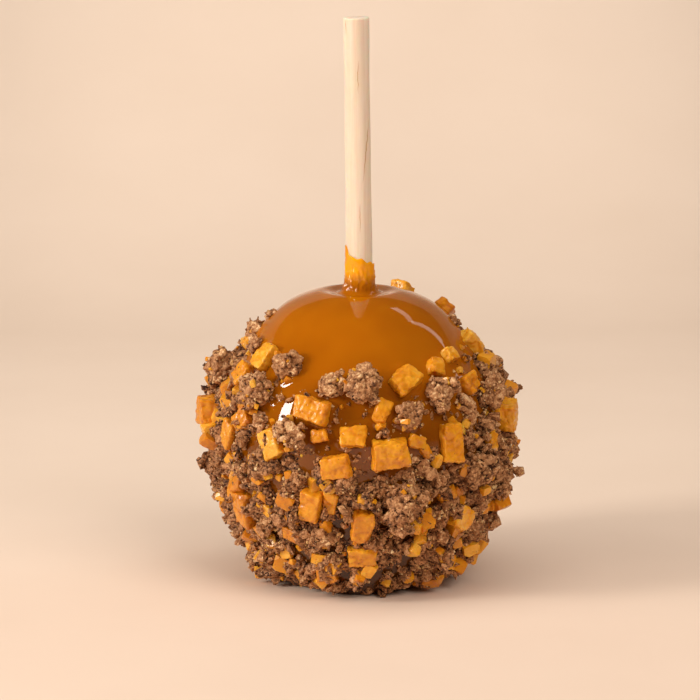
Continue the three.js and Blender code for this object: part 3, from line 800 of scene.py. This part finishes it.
def rough_skin_tree():
    tree, given, result = geometry_tree("Rough skin", [
        ("Share", "NodeSocketFloat"), ("Swell", "NodeSocketFloat"),
        ("Swell size", "NodeSocketFloat"), ("Grain", "NodeSocketFloat"),
        ("Grain size", "NodeSocketFloat"), ("Place", "NodeSocketVector"),
        ("Tone", "NodeSocketFloat"), ("Tone change", "NodeSocketFloat"),
        ("Clump", "NodeSocketFloat"), ("Clump size", "NodeSocketFloat"),
        ("Worn", "NodeSocketFloat"),
    ])
    grain_size = given.outputs["Grain size"]
    here = feed(tree, add(tree, "ShaderNodeVectorMath", operation="ADD"),
                i0=add(tree, "GeometryNodeInputPosition").outputs[0], i1=given.outputs["Place"])
    swell = feed(tree, add(tree, "ShaderNodeTexNoise"), Vector=here.outputs[0], Detail=2.0,
                 Scale=math_node(tree, "DIVIDE", 1.0, given.outputs["Swell size"]))
    slow = math_node(tree, "MULTIPLY", math_node(tree, "SUBTRACT", swell.outputs[0], 0.5),
                     math_node(tree, "MULTIPLY", given.outputs["Swell"], 2.0))
    bent = feed(tree, add(tree, "ShaderNodeTexNoise"), Vector=here.outputs[0], Detail=2.0,
                Scale=math_node(tree, "DIVIDE", 0.6, grain_size))
    shift = feed(tree, add(tree, "ShaderNodeVectorMath", operation="SCALE"),
                 i0=bent.outputs["Color"], Scale=math_node(tree, "MULTIPLY", grain_size, 1.5))
    moved = feed(tree, add(tree, "ShaderNodeVectorMath", operation="ADD"),
                 i0=here.outputs[0], i1=shift.outputs[0])
    grains = feed(tree, add(tree, "ShaderNodeTexVoronoi"), Vector=moved.outputs[0],
                  Scale=math_node(tree, "DIVIDE", 1.0, grain_size))
    peak = math_node(tree, "SUBTRACT", 0.45, grains.outputs["Distance"])
    quick = math_node(tree, "MULTIPLY", peak, math_node(tree, "MULTIPLY", given.outputs["Grain"], 2.0))
    clumps = feed(tree, add(tree, "ShaderNodeTexVoronoi", feature="DISTANCE_TO_EDGE"),
                  Vector=moved.outputs[0],
                  Scale=math_node(tree, "DIVIDE", 1.0, given.outputs["Clump size"]))
    plateau = feed(tree, add(tree, "ShaderNodeMapRange", interpolation_type="SMOOTHSTEP"),
                   Value=clumps.outputs["Distance"], From_Min=0.0, From_Max=0.15)
    hump = math_node(tree, "SUBTRACT", plateau.outputs["Result"], 0.65)
    patch = feed(tree, add(tree, "ShaderNodeTexNoise"), Vector=here.outputs[0], Detail=1.0,
                 Scale=math_node(tree, "DIVIDE", 0.7, given.outputs["Clump size"]))
    worn = feed(tree, add(tree, "ShaderNodeMapRange", interpolation_type="SMOOTHSTEP"),
                Value=patch.outputs[0], From_Min=0.42, From_Max=0.56)
    crumbly = math_node(tree, "SUBTRACT", 1.0, math_node(
        tree, "MULTIPLY", worn.outputs["Result"], given.outputs["Worn"]))
    hump = math_node(tree, "MULTIPLY", hump, crumbly)
    peak = math_node(tree, "MULTIPLY", peak, crumbly)
    quick = math_node(tree, "MULTIPLY", quick, crumbly)
    slow = math_node(tree, "ADD", slow, math_node(
        tree, "MULTIPLY", hump, given.outputs["Clump"]))
    rise = math_node(tree, "MULTIPLY", math_node(tree, "ADD", slow, quick), given.outputs["Share"])
    offset = feed(tree, add(tree, "ShaderNodeVectorMath", operation="SCALE"),
                  i0=add(tree, "GeometryNodeInputNormal").outputs[0], Scale=rise)
    moved_skin = feed(tree, add(tree, "GeometryNodeSetPosition"),
                      Geometry=given.outputs["Geometry"], Offset=offset.outputs[0])
    # Painted shade: the stored tone is the piece's tone, made darker in the creases and hollows of the
    # skin and lighter on its peaks and humps, as much as Painted relief shade asks.
    lift = math_node(tree, "ADD", math_node(tree, "MULTIPLY", peak, 0.5), hump)
    tone_with_painted_relief_shade = math_node(tree, "ADD", given.outputs["Tone"],
                         math_node(tree, "MULTIPLY", lift, given.outputs["Tone change"]))
    toned = add(tree, "GeometryNodeStoreNamedAttribute", data_type="FLOAT", domain="POINT")
    feed(tree, toned, Geometry=moved_skin.outputs[0], Name="tone", Value=tone_with_painted_relief_shade)
    feed(tree, result, Geometry=toned.outputs[0])
    return tree


rough_skin = rough_skin_tree()


def run_tree(piece, tree, **values):
    """Adds a Geometry Nodes modifier and sets its inputs by their sockets' identifiers."""
    modifier = piece.modifiers.new(tree.name, "NODES")
    modifier.node_group = tree
    sockets = {item.name: item.identifier for item in tree.interface.items_tree
               if item.in_out == "INPUT"}
    for name, value in values.items():
        identifier = sockets[name.replace("_", " ")]
        if isinstance(value, str):
            modifier[identifier + "_use_attribute"] = True
            modifier[identifier + "_attribute_name"] = value
        else:
            modifier[identifier] = value
    return modifier


def baked(piece):
    """Turns a piece's modifiers into plain mesh."""
    depsgraph = bpy.context.evaluated_depsgraph_get()
    mesh = bpy.data.meshes.new_from_object(
        piece.evaluated_get(depsgraph), preserve_all_data_layers=True, depsgraph=depsgraph)
    mesh.name = piece.name
    spent = piece.data
    piece.modifiers.clear()
    piece.data = mesh
    bpy.data.meshes.remove(spent)
    return piece


# %% Toffee blocks
random = np.random.default_rng(SEED)
TOFFEE_VOXEL = 0.3


def toffee_block(name, bm):
    """A block of toffee from its plain form, as a rough-skinned piece."""
    mesh = bpy.data.meshes.new(name)
    bm.to_mesh(mesh)
    bm.free()
    block = new_piece(name, mesh)
    bevel = block.modifiers.new("worn corners", "BEVEL")
    bevel.width = 0.3 * MM
    bevel.segments = 2
    bevel.angle_limit = math.radians(25)
    bevel.limit_method = "ANGLE"
    remesh = block.modifiers.new("even skin", "REMESH")
    remesh.mode = "VOXEL"
    remesh.voxel_size = TOFFEE_VOXEL * MM
    run_tree(block, rough_skin, Share=1.0, Swell=0.8 * MM, Swell_size=3.4 * MM, Grain=0.13 * MM,
             Grain_size=1.1 * MM, Place=tuple(random.uniform(0, 1, 3)), Clump=0.15 * MM,
             Clump_size=4 * MM, Tone=random.uniform(0, 0.85), Tone_change=0.25)
    baked(block)
    block.data.shade_smooth()
    return block


blocks = []
for node in toffee_nodes:
    block = toffee_block(node + "_block", merged(node))
    blocks.append(dress(block, "toffee", toffee, node))
print(len(blocks), "toffee blocks")

# %% [markdown]
# ## Chocolate lumps
#
# A lump of crumble is many crumbs pressed together, so its outline is knobbly. Each lump starts
# as its solid with some angular knobs added over it. The voxel remesh melts them into one skin,
# and the rough-skin tree breaks that skin into grains.

# %% Chocolate lumps
CRUMBLE_VOXEL = 0.3


def knobby(bm, knobs, share):
    """Adds angular knobs over a lump's surface, each a share of the lump's size."""
    points = np.array([vertex.co for vertex in bm.verts])
    middle, reach = points.mean(0), np.ptp(points, axis=0).mean() / 2
    outward = Vector((*middle[:2], 0)).normalized()
    hull = bvhtree.BVHTree.FromBMesh(bm)
    bmesh.ops.scale(bm, vec=(0.88, 0.88, 0.88), space=Matrix.Translation(-Vector(middle)), verts=bm.verts)
    for _ in range(knobs):
        way = Vector(random.normal(size=3)).normalized()
        spot = hull.ray_cast(Vector(middle), way)[0]
        size = reach * random.uniform(*share)
        corners = random.normal(size=(9, 3))
        corners *= size * random.uniform(0.75, 1.12, (9, 1)) / np.linalg.norm(corners, axis=1)[:, None]
        centre = np.array(spot - way * size * (0.45 + 0.45 * max(0, way.dot(outward))))
        knob = bmesh.ops.convex_hull(bm, input=[bm.verts.new(corner) for corner in centre + corners])
        bmesh.ops.delete(bm, geom=knob["geom_interior"], context="VERTS")
    bmesh.ops.recalc_face_normals(bm, faces=bm.faces)
    return bm


def chocolate_lump(name, bm, voxel=CRUMBLE_VOXEL):
    height = np.mean([vertex.co.z for vertex in bm.verts]) / MM
    # Painted shade: lumps lower on the apple get a darker tone, with a random shift.
    tone = np.interp(height, (20, 55), (0.5, 0.76)) + random.uniform(-0.12, 0.12)
    mesh = bpy.data.meshes.new(name)
    bm.to_mesh(mesh)
    bm.free()
    lump = new_piece(name, mesh)
    remesh = lump.modifiers.new("one skin", "REMESH")
    remesh.mode = "VOXEL"
    remesh.voxel_size = voxel * MM
    run_tree(lump, rough_skin, Share=1.0, Swell=2.4 * MM, Swell_size=4.6 * MM, Grain=0.22 * MM,
             Grain_size=0.85 * MM, Place=tuple(random.uniform(0, 1, 3)), Clump=0.95 * MM,
             Clump_size=3.3 * MM, Tone=float(tone), Tone_change=0.9, Worn=0.45)
    baked(lump)
    lump.data.shade_smooth()
    return lump


lumps = []
for node in chocolate_nodes:
    lump = chocolate_lump(node + "_lump", knobby(merged(node), 9, (0.38, 0.7)))
    lumps.append(dress(lump, "chocolate", chocolate, node))
print(len(lumps), "chocolate lumps,", sum(len(lump.data.polygons) for lump in lumps), "faces")

# %% [markdown]
# ## Small toppings
#
# The pieces under six millimetres are one solid with the apple, so no node says where they are.
# They are set by the same rule as in the solid: the photograph gives a place to the right of the
# stick and a place up, and a few rounds of a simple sum find the spot on the apple that is seen
# there.

# %% Seats for small toppings
SEEN_FROM = math.radians(11)
SEEN_AT = 1000
SEEN_MIDDLE = 56.5
SMALL_TOPPINGS = [
    # kind, mm right of the stick, mm up, length, width, degrees turned from level, far side
    ("toffee", 11.1, 71.4, 5.4, 4.4, 0, True),
    ("toffee", -30.2, 61, 3.4, 3, 20, False),
    ("toffee", -32.6, 58.5, 3.6, 3.2, 0, False),
    ("toffee", 23.4, 55, 3.8, 3.6, 5, False),
    ("toffee", 19.4, 51.8, 4.4, 3.8, 70, False),
    ("toffee", -29.6, 38.8, 5.7, 5.2, 40, False),
    ("toffee", -9.9, 35, 3.8, 3, 10, False),
    ("toffee", 14.6, 33.5, 4.4, 3.2, -20, False),
    ("toffee", 16.8, 31, 3.6, 2.6, -60, False),
    ("toffee", -33.2, 21, 5, 4, 20, False),
    ("toffee", 25.1, 21, 3.6, 3.2, 80, False),
    ("toffee", 21.6, 20.8, 3.8, 3.6, 30, False),
    ("toffee", 1.6, 19.2, 4.4, 3.8, 0, False),
    ("toffee", -7.4, 18.5, 5.8, 3.4, 75, False),
    ("toffee", -24.4, 17, 5, 3.4, -20, False),
    ("toffee", -17.2, 14.5, 3.6, 3, 0, False),
    ("toffee", -17.4, 10.8, 5.4, 3.8, -10, False),
    ("chocolate", -25.2, 65.2, 5.6, 3.8, 45, False),
    ("chocolate", 25.8, 63.8, 5.4, 4, -40, False),
    ("chocolate", 31.4, 57.2, 5.6, 4.4, -60, False),
    ("chocolate", 27.1, 54.8, 5.6, 4.4, -30, False),
    ("chocolate", -30.4, 47, 4.2, 3.6, 0, False),
    ("chocolate", -10.4, 46.5, 4, 2.8, 80, False),
    ("chocolate", -25.4, 38.5, 3.6, 3.4, 0, False),
    ("chocolate", -37.2, 35.8, 4.6, 4, 70, False),
    ("chocolate", 6.1, 35.5, 4.6, 3, 10, False),
    ("chocolate", 35.4, 26.5, 5.4, 4, 60, False),
]


def on_body(bearing, height):
    bearing = np.array(bearing, float)
    return around(radius_at(height) * lobes(bearing, height), bearing, height)


def seen_at(right, up, far):
    """The bearing and height of the spot that the front view shows at a place."""
    height, depth, near = up, 0.0, 1.0
    for _ in range(30):
        radius = radius_at(min(height, SHOULDER_HEIGHT - 1.5)) + 1.5
        depth = math.sqrt(max(0, radius**2 - (right / near) ** 2)) * (-1 if far else 1)
        near = 1 + depth / SEEN_AT
        seen = SEEN_MIDDLE + (up - SEEN_MIDDLE) / near
        height += 0.5 * ((seen + depth * math.sin(SEEN_FROM)) / math.cos(SEEN_FROM) - height)
    side = max(-radius, min(radius, right / near))
    return math.atan2(side, depth), min(height, SHOULDER_HEIGHT - 1.5)


def seat(right, up, turn, lift, far):
    """Places x along a piece and z out of the caramel, at the spot that the front view shows."""
    bearing, height = seen_at(right, up, far)
    rise = on_body(bearing, height + 0.4) - on_body(bearing, height - 0.4)
    level = on_body(bearing + 0.04, height) - on_body(bearing - 0.04, height)
    out = Vector(level).cross(Vector(rise)).normalized()
    along = Quaternion(out, math.radians(turn)) @ Vector((math.cos(bearing), math.sin(bearing), 0))
    across = out.cross(along).normalized()
    along = across.cross(out)
    turned = Matrix((along, across, out)).transposed().to_4x4()
    return Matrix.Translation((Vector(on_body(bearing, height)) + out * lift) * MM) @ turned


def hull_piece(points, place):
    """A closed convex piece from points in millimetres."""
    bm = bmesh.new()
    hull = bmesh.ops.convex_hull(bm, input=[bm.verts.new(Vector(point) * MM) for point in points])
    bmesh.ops.delete(bm, geom=hull["geom_interior"], context="VERTS")
    bmesh.ops.recalc_face_normals(bm, faces=bm.faces)
    bm.transform(place)
    return bm


def small_topping(number, row):
    kind, right, up, length, width, turn, far = row
    thick = width * 0.85
    place = seat(right, up, turn, thick * 0.18, far)
    if kind == "toffee":
        corners = np.array([(x, y, z) for x in (-1, 1) for y in (-1, 1) for z in (-1, 1)], float)
        points = corners * random.uniform(0.84, 1.1, (8, 3)) * (length / 2, width / 2, thick / 2)
        return toffee_block(f"small_toffee_{number}", hull_piece(points, place))
    ways = random.normal(size=(12, 3))
    ways /= np.linalg.norm(ways, axis=1)[:, None]
    points = ways * (length / 2, width / 2, thick / 2)
    return chocolate_lump(f"small_chocolate_{number}", knobby(hull_piece(points, place), 8, (0.34, 0.6)))


def joined(name, pieces):
    """One mesh object from copies of several pieces."""
    bm = bmesh.new()
    for piece in pieces:
        bm.from_mesh(piece.data)
    mesh = bpy.data.meshes.new(name)
    bm.to_mesh(mesh)
    bm.free()
    return new_piece(name, mesh)


def small_toppings(kind, material):
    """The small toppings of one kind, as one piece."""
    rows = [row for row in SMALL_TOPPINGS if row[0] == kind]
    made = [small_topping(number, row) for number, row in enumerate(rows)]
    piece = dress(joined("small_" + kind, made), kind, material)
    for one in made:
        bpy.data.objects.remove(one)
    print(len(rows), "small", kind, "pieces with", len(piece.data.polygons), "faces")
    return piece


small_toffee = small_toppings("toffee", toffee)
small_chocolate = small_toppings("chocolate", chocolate)

# %% [markdown]
# ## The crust
#
# Below a wavy line the caramel is covered with crumbs. Their bed is a second skin. It follows the
# surface of the solid, which is found by casting rays at it from outside, and it wanders a little
# below and above it. Where it dips under the coat, dark caramel shows between the crumbs. Three
# attributes are kept on its points: how much crumb belongs there, how much of it stands high, and
# how light it is. That lightness is painted shade: the bed is darker in its dips and lighter on
# its rises.

# %% Bed of crumbs
CRUST_FRONT = 41
CRUST_FADE = 12
BED_BEARINGS = 320
BED_RINGS = 180
BED_TOP = 64


def solid_radius(node, bearing, height, outside=60):
    """Radius of a solid at each bearing and height, found from outside."""
    bm = merged(node)
    skin = bvhtree.BVHTree.FromBMesh(bm)
    bm.free()
    starts = around(np.full(bearing.shape, float(outside)), bearing, height)
    found = np.empty(bearing.size)
    for place, start in enumerate(starts.reshape(-1, 3)):
        inwards = Vector((-start[0], -start[1], 0))
        hit = skin.ray_cast(Vector(start) * MM, inwards.normalized(), outside * MM)[0]
        found[place] = math.hypot(hit.x, hit.y) / MM if hit else 0
    return found.reshape(bearing.shape)


def crumb_bed():
    profile = outline_points(OUTLINE, 400)
    profile = profile[profile[:, 1] < BED_TOP]
    profile = profile[np.linspace(0, len(profile) - 1, BED_RINGS).astype(int)]
    bearing = np.arange(BED_BEARINGS) * 2 * np.pi / BED_BEARINGS
    bearing, radius = np.meshgrid(bearing, profile[:, 0])
    height = np.maximum(0.3, np.broadcast_to(profile[:, 1:], radius.shape))
    crust = smooth(below_line(bearing, radius, height, CRUST_FRONT), 0, CRUST_FADE)
    skin = coat_radius(bearing, radius, height)
    rise = np.clip(solid_radius("caramel_apple", bearing, height) - skin, 0, 4.5)
    places = around(skin, bearing, height)
    relief = rise - 1.15 + 0.9 * wander(places, 6.5, 1) + 0.5 * wander(places, 3.4, 2)
    relief += 0.7 * smooth(below_line(bearing, radius, height, CRUST_FRONT), 10, 20)
    stand = -0.9 + crust * (0.9 + relief)
    mesh = ring_mesh("crumb_bed", around(skin + stand, bearing, height), (0, 0, 0.3), (0, 0, BED_TOP - 4))
    share = crust * smooth(height, 1, 4) * smooth(stand, -0.5, 0.2)
    set_attribute(mesh, "crust", np.concatenate([[0], share.ravel(), [0]]))
    # Painted shade: the bed's tone is darker in its dips and lighter on its rises.
    light = 0.26 * np.clip(relief, -0.8, 1.7)
    set_attribute(mesh, "light", np.concatenate([[0], light.ravel(), [0]]))
    high = share * (0.35 + 0.65 * smooth(relief, -0.4, 1.0))
    set_attribute(mesh, "high", np.concatenate([[0], high.ravel(), [0]]))
    bed = new_piece("crumb_bed", mesh)
    run_tree(bed, rough_skin, Share="crust", Swell=0.6 * MM, Swell_size=2.2 * MM, Grain=0.3 * MM,
             Grain_size=1.1 * MM, Place=(0.3, 0.1, 0.2), Clump=1.0 * MM, Clump_size=3.0 * MM,
             Tone="light", Tone_change=0.75)
    baked(bed)
    bed.data.shade_smooth()
    return bed


bed = dress(crumb_bed(), "chocolate", chocolate)
print("bed has", len(bed.data.polygons), "faces")

# %% [markdown]
# Thousands of crumbs cannot be placed by hand. A Geometry Nodes tree scatters points on a
# surface, drops those that lie too near a large topping, and puts one of a few crumb shapes on
# each, turned and sized at random. Small crumbs are far more common than large ones, so the
# random size is raised to a power. Each crumb keeps a random tone. The tree ends by realizing its
# instances, because an export holds only real mesh.

# %% Scattering tree
def crumb_shapes(name, variants, corners, parts=1):
    """A collection of angular crumbs, each about one metre across before it is scaled."""
    shapes = bpy.data.collections.new(name)
    for _ in range(variants):
        bm = bmesh.new()
        for part in range(parts):
            ways = random.normal(size=(corners, 3))
            ways /= np.linalg.norm(ways, axis=1)[:, None]
            reach = random.uniform(0.36, 0.54, (corners, 1)) * (1 if parts == 1 else 0.66)
            aside = random.uniform(-0.24, 0.24, 3) * (parts > 1)
            points = [bm.verts.new(point) for point in ways * reach + aside]
            hull = bmesh.ops.convex_hull(bm, input=points)
            bmesh.ops.delete(bm, geom=hull["geom_interior"], context="VERTS")
        bmesh.ops.recalc_face_normals(bm, faces=bm.faces)
        mesh = bpy.data.meshes.new(name)
        bm.to_mesh(mesh)
        bm.free()
        shapes.objects.link(bpy.data.objects.new(name, mesh))
    return shapes


def nugget_shapes(variants):
    """A collection of chipped cubes with cut corners, about one metre across."""
    shapes = bpy.data.collections.new("nugget")
    for _ in range(variants):
        bm = bmesh.new()
        for x, y, z in [(x, y, z) for x in (-1, 1) for y in (-1, 1) for z in (-1, 1)]:
            corner = np.array([x, y, z]) * random.uniform(0.3, 0.44, 3)
            for axis in range(3):
                cut = corner.copy()
                cut[axis] *= random.uniform(0.45, 0.75)
                bm.verts.new(cut)
        hull = bmesh.ops.convex_hull(bm, input=bm.verts)
        bmesh.ops.delete(bm, geom=hull["geom_interior"], context="VERTS")
        bmesh.ops.recalc_face_normals(bm, faces=bm.faces)
        mesh = bpy.data.meshes.new("nugget")
        bm.to_mesh(mesh)
        bm.free()
        shapes.objects.link(bpy.data.objects.new("nugget", mesh))
    return shapes


def scatter_tree():
    tree, given, result = geometry_tree("Scatter crumbs", [
        ("Shapes", "NodeSocketCollection"), ("Per square metre", "NodeSocketFloat"),
        ("Share", "NodeSocketFloat"), ("Smallest", "NodeSocketFloat"),
        ("Largest", "NodeSocketFloat"), ("Seed", "NodeSocketInt"),
        ("Keep clear of", "NodeSocketObject"), ("Clearance", "NodeSocketFloat"),
        ("Patch size", "NodeSocketFloat"), ("Patchiness", "NodeSocketFloat"),
        ("Skew", "NodeSocketFloat"),
        ("Material", "NodeSocketMaterial"),
    ])
    patches = feed(tree, add(tree, "ShaderNodeTexNoise"), Detail=1.0,
                   Scale=math_node(tree, "DIVIDE", 1.0, given.outputs["Patch size"]))
    bare = feed(tree, add(tree, "ShaderNodeMapRange", interpolation_type="SMOOTHSTEP"),
                Value=patches.outputs[0], From_Min=0.58, From_Max=0.46)
    kept = math_node(tree, "SUBTRACT", 1.0, math_node(
        tree, "MULTIPLY", bare.outputs["Result"], given.outputs["Patchiness"]))
    density = math_node(tree, "MULTIPLY", given.outputs["Per square metre"],
                        math_node(tree, "MULTIPLY", kept, given.outputs["Share"]))
    points = add(tree, "GeometryNodeDistributePointsOnFaces", distribute_method="RANDOM")
    feed(tree, points, Mesh=given.outputs["Geometry"], Density=density, Seed=given.outputs["Seed"])
    others = feed(tree, add(tree, "GeometryNodeObjectInfo"), Object=given.outputs["Keep clear of"])
    near = add(tree, "GeometryNodeProximity", target_element="FACES")
    feed(tree, near, i0=others.outputs["Geometry"])
    far_enough = add(tree, "GeometryNodeDeleteGeometry", domain="POINT")
    too_near = feed(tree, add(tree, "FunctionNodeCompare", operation="LESS_THAN"),
                    A=near.outputs["Distance"], B=given.outputs["Clearance"])
    feed(tree, far_enough, Geometry=points.outputs["Points"], Selection=too_near.outputs[0])

    def draw(kind, low, high, offset):
        seed = math_node(tree, "ADD", given.outputs["Seed"], offset)
        node = add(tree, "FunctionNodeRandomValue", data_type=kind)
        low_input, high_input, out = (0, 1, 0) if kind == "FLOAT_VECTOR" else (2, 3, 1)
        feed(tree, node, Seed=seed, **{f"i{low_input}": low, f"i{high_input}": high})
        return node.outputs[out]

    small = math_node(tree, "POWER", draw("FLOAT", 0.0, 1.0, 1.0), given.outputs["Skew"])
    size = feed(tree, add(tree, "ShaderNodeMapRange"), Value=small,
                To_Min=given.outputs["Smallest"], To_Max=given.outputs["Largest"])
    uneven = feed(tree, add(tree, "ShaderNodeVectorMath", operation="SCALE"),
                  i0=draw("FLOAT_VECTOR", (0.7, 0.7, 0.7), (1.25, 1.25, 1.25), 2.0),
                  Scale=size.outputs["Result"])
    shapes = add(tree, "GeometryNodeCollectionInfo")
    feed(tree, shapes, Collection=given.outputs["Shapes"], Separate_Children=True,
         Reset_Children=True)
    crumbs = add(tree, "GeometryNodeInstanceOnPoints")
    feed(tree, crumbs, Points=far_enough.outputs[0], Instance=shapes.outputs[0],
         Pick_Instance=True, Scale=uneven.outputs[0],
         Rotation=draw("FLOAT_VECTOR", (0.0, 0.0, 0.0), (6.283, 6.283, 6.283), 3.0))
    toned = add(tree, "GeometryNodeStoreNamedAttribute", data_type="FLOAT", domain="INSTANCE")
    feed(tree, toned, Geometry=crumbs.outputs[0], Name="tone", Value=draw("FLOAT", 0.1, 0.95, 4.0))
    real = feed(tree, add(tree, "GeometryNodeRealizeInstances"), Geometry=toned.outputs[0])
    finished = add(tree, "GeometryNodeSetMaterial")
    feed(tree, finished, Geometry=real.outputs[0], Material=given.outputs["Material"])
    feed(tree, result, Geometry=finished.outputs[0])
    return tree


scatter = scatter_tree()
grains = crumb_shapes("grain", 8, 8)
nuggets = nugget_shapes(8)
clumps = crumb_shapes("clump", 8, 10, parts=3)

# %% Ground that crumbs lie on
all_blocks = joined("all_blocks", [*blocks, small_toffee])
all_lumps = joined("all_lumps", [*lumps, small_chocolate])


def crumbs_on(name, ground, shapes, per_square_mm, share, smallest, largest, seed, material,
              patch=5, patchiness=0.0, skew=2.4, clearance=0.35):
    """Crumbs on a ground piece, as a plain mesh object."""
    heap = new_piece(name, ground.data.copy())
    run_tree(heap, scatter, Shapes=shapes, Per_square_metre=per_square_mm / MM**2, Share=share,
             Smallest=smallest * MM, Largest=largest * MM, Seed=seed, Keep_clear_of=all_blocks,
             Clearance=clearance * MM, Material=material, Patch_size=patch * MM,
             Patchiness=patchiness, Skew=skew)
    baked(heap)
    points = np.empty(len(heap.data.vertices) * 3)
    heap.data.vertices.foreach_get("co", points)
    points[2::3] = np.maximum(points[2::3], 0.05 * MM)
    heap.data.vertices.foreach_set("co", points)
    return heap


small_lumps = crumbs_on("small_lumps", bed, clumps, 0.085, "high", 2.2, 6.4, 3, chocolate, skew=1.5)
print("small lumps have", len(small_lumps.data.polygons), "faces")

# %% Crumbs
def one_kind(name, slot, material, heaps):
    """Joins heaps of one kind of crumb into one piece."""
    piece = joined(name, heaps)
    for heap in heaps:
        bpy.data.objects.remove(heap)
    dress(piece, slot, material)
    print(name, "has", len(piece.data.polygons), "faces")
    return piece


dress(small_lumps, "chocolate", chocolate)
chocolate_grains = one_kind("chocolate_grains", "chocolate", chocolate, [
    crumbs_on("on_bed", bed, grains, 0.6, "high", 0.6, 2.3, 11, chocolate, 6, 0.5),
    crumbs_on("on_lumps", all_lumps, grains, 0.26, 1.0, 0.45, 1.5, 12, chocolate, 4, 0.9),
    crumbs_on("on_small", small_lumps, grains, 0.3, 1.0, 0.5, 1.6, 13, chocolate, 4, 0.6),
    crumbs_on("on_coat", coat, grains, 0.38, "sprinkle", 0.55, 2.6, 14, chocolate, 4, 0.5),
    crumbs_on("clumps_on_coat", coat, clumps, 0.06, "sprinkle", 1.4, 3.4, 16, chocolate, skew=1.4),
    crumbs_on("on_blocks", all_blocks, grains, 0.045, 1.0, 0.35, 0.8, 15, chocolate, 5, 0.9,
              clearance=-1),
])
nut_grains = one_kind("nut_grains", "chocolate", nut, [
    crumbs_on("on_bed", bed, grains, 0.55, "high", 0.45, 1.6, 21, nut, 5, 0.9),
    crumbs_on("on_lumps", all_lumps, grains, 0.4, 1.0, 0.35, 1.0, 22, nut, 4, 0.95),
    crumbs_on("on_small", small_lumps, grains, 0.3, 1.0, 0.35, 1.1, 23, nut, 4, 0.9),
    crumbs_on("on_coat", coat, grains, 0.08, "sprinkle", 0.4, 1.3, 24, nut),
    crumbs_on("on_blocks", all_blocks, grains, 0.03, 1.0, 0.3, 0.9, 25, nut, 5, 0.9, clearance=-1),
])
toffee_crumbs = one_kind("toffee_crumbs", "toffee", toffee, [
    crumbs_on("on_bed", bed, nuggets, 0.038, "crust", 1.4, 5.6, 31, toffee, 6, 0.7, skew=1.3),
    crumbs_on("on_lumps", all_lumps, nuggets, 0.03, 1.0, 0.7, 2.2, 32, toffee, 5, 0.9),
    crumbs_on("on_coat", coat, nuggets, 0.035, "sprinkle", 0.8, 3.0, 33, toffee),
])

for spent in [all_blocks, all_lumps]:
    bpy.data.objects.remove(spent)
for shapes in [grains, nuggets, clumps]:
    for shape in list(shapes.objects):
        bpy.data.objects.remove(shape)
    bpy.data.collections.remove(shapes)
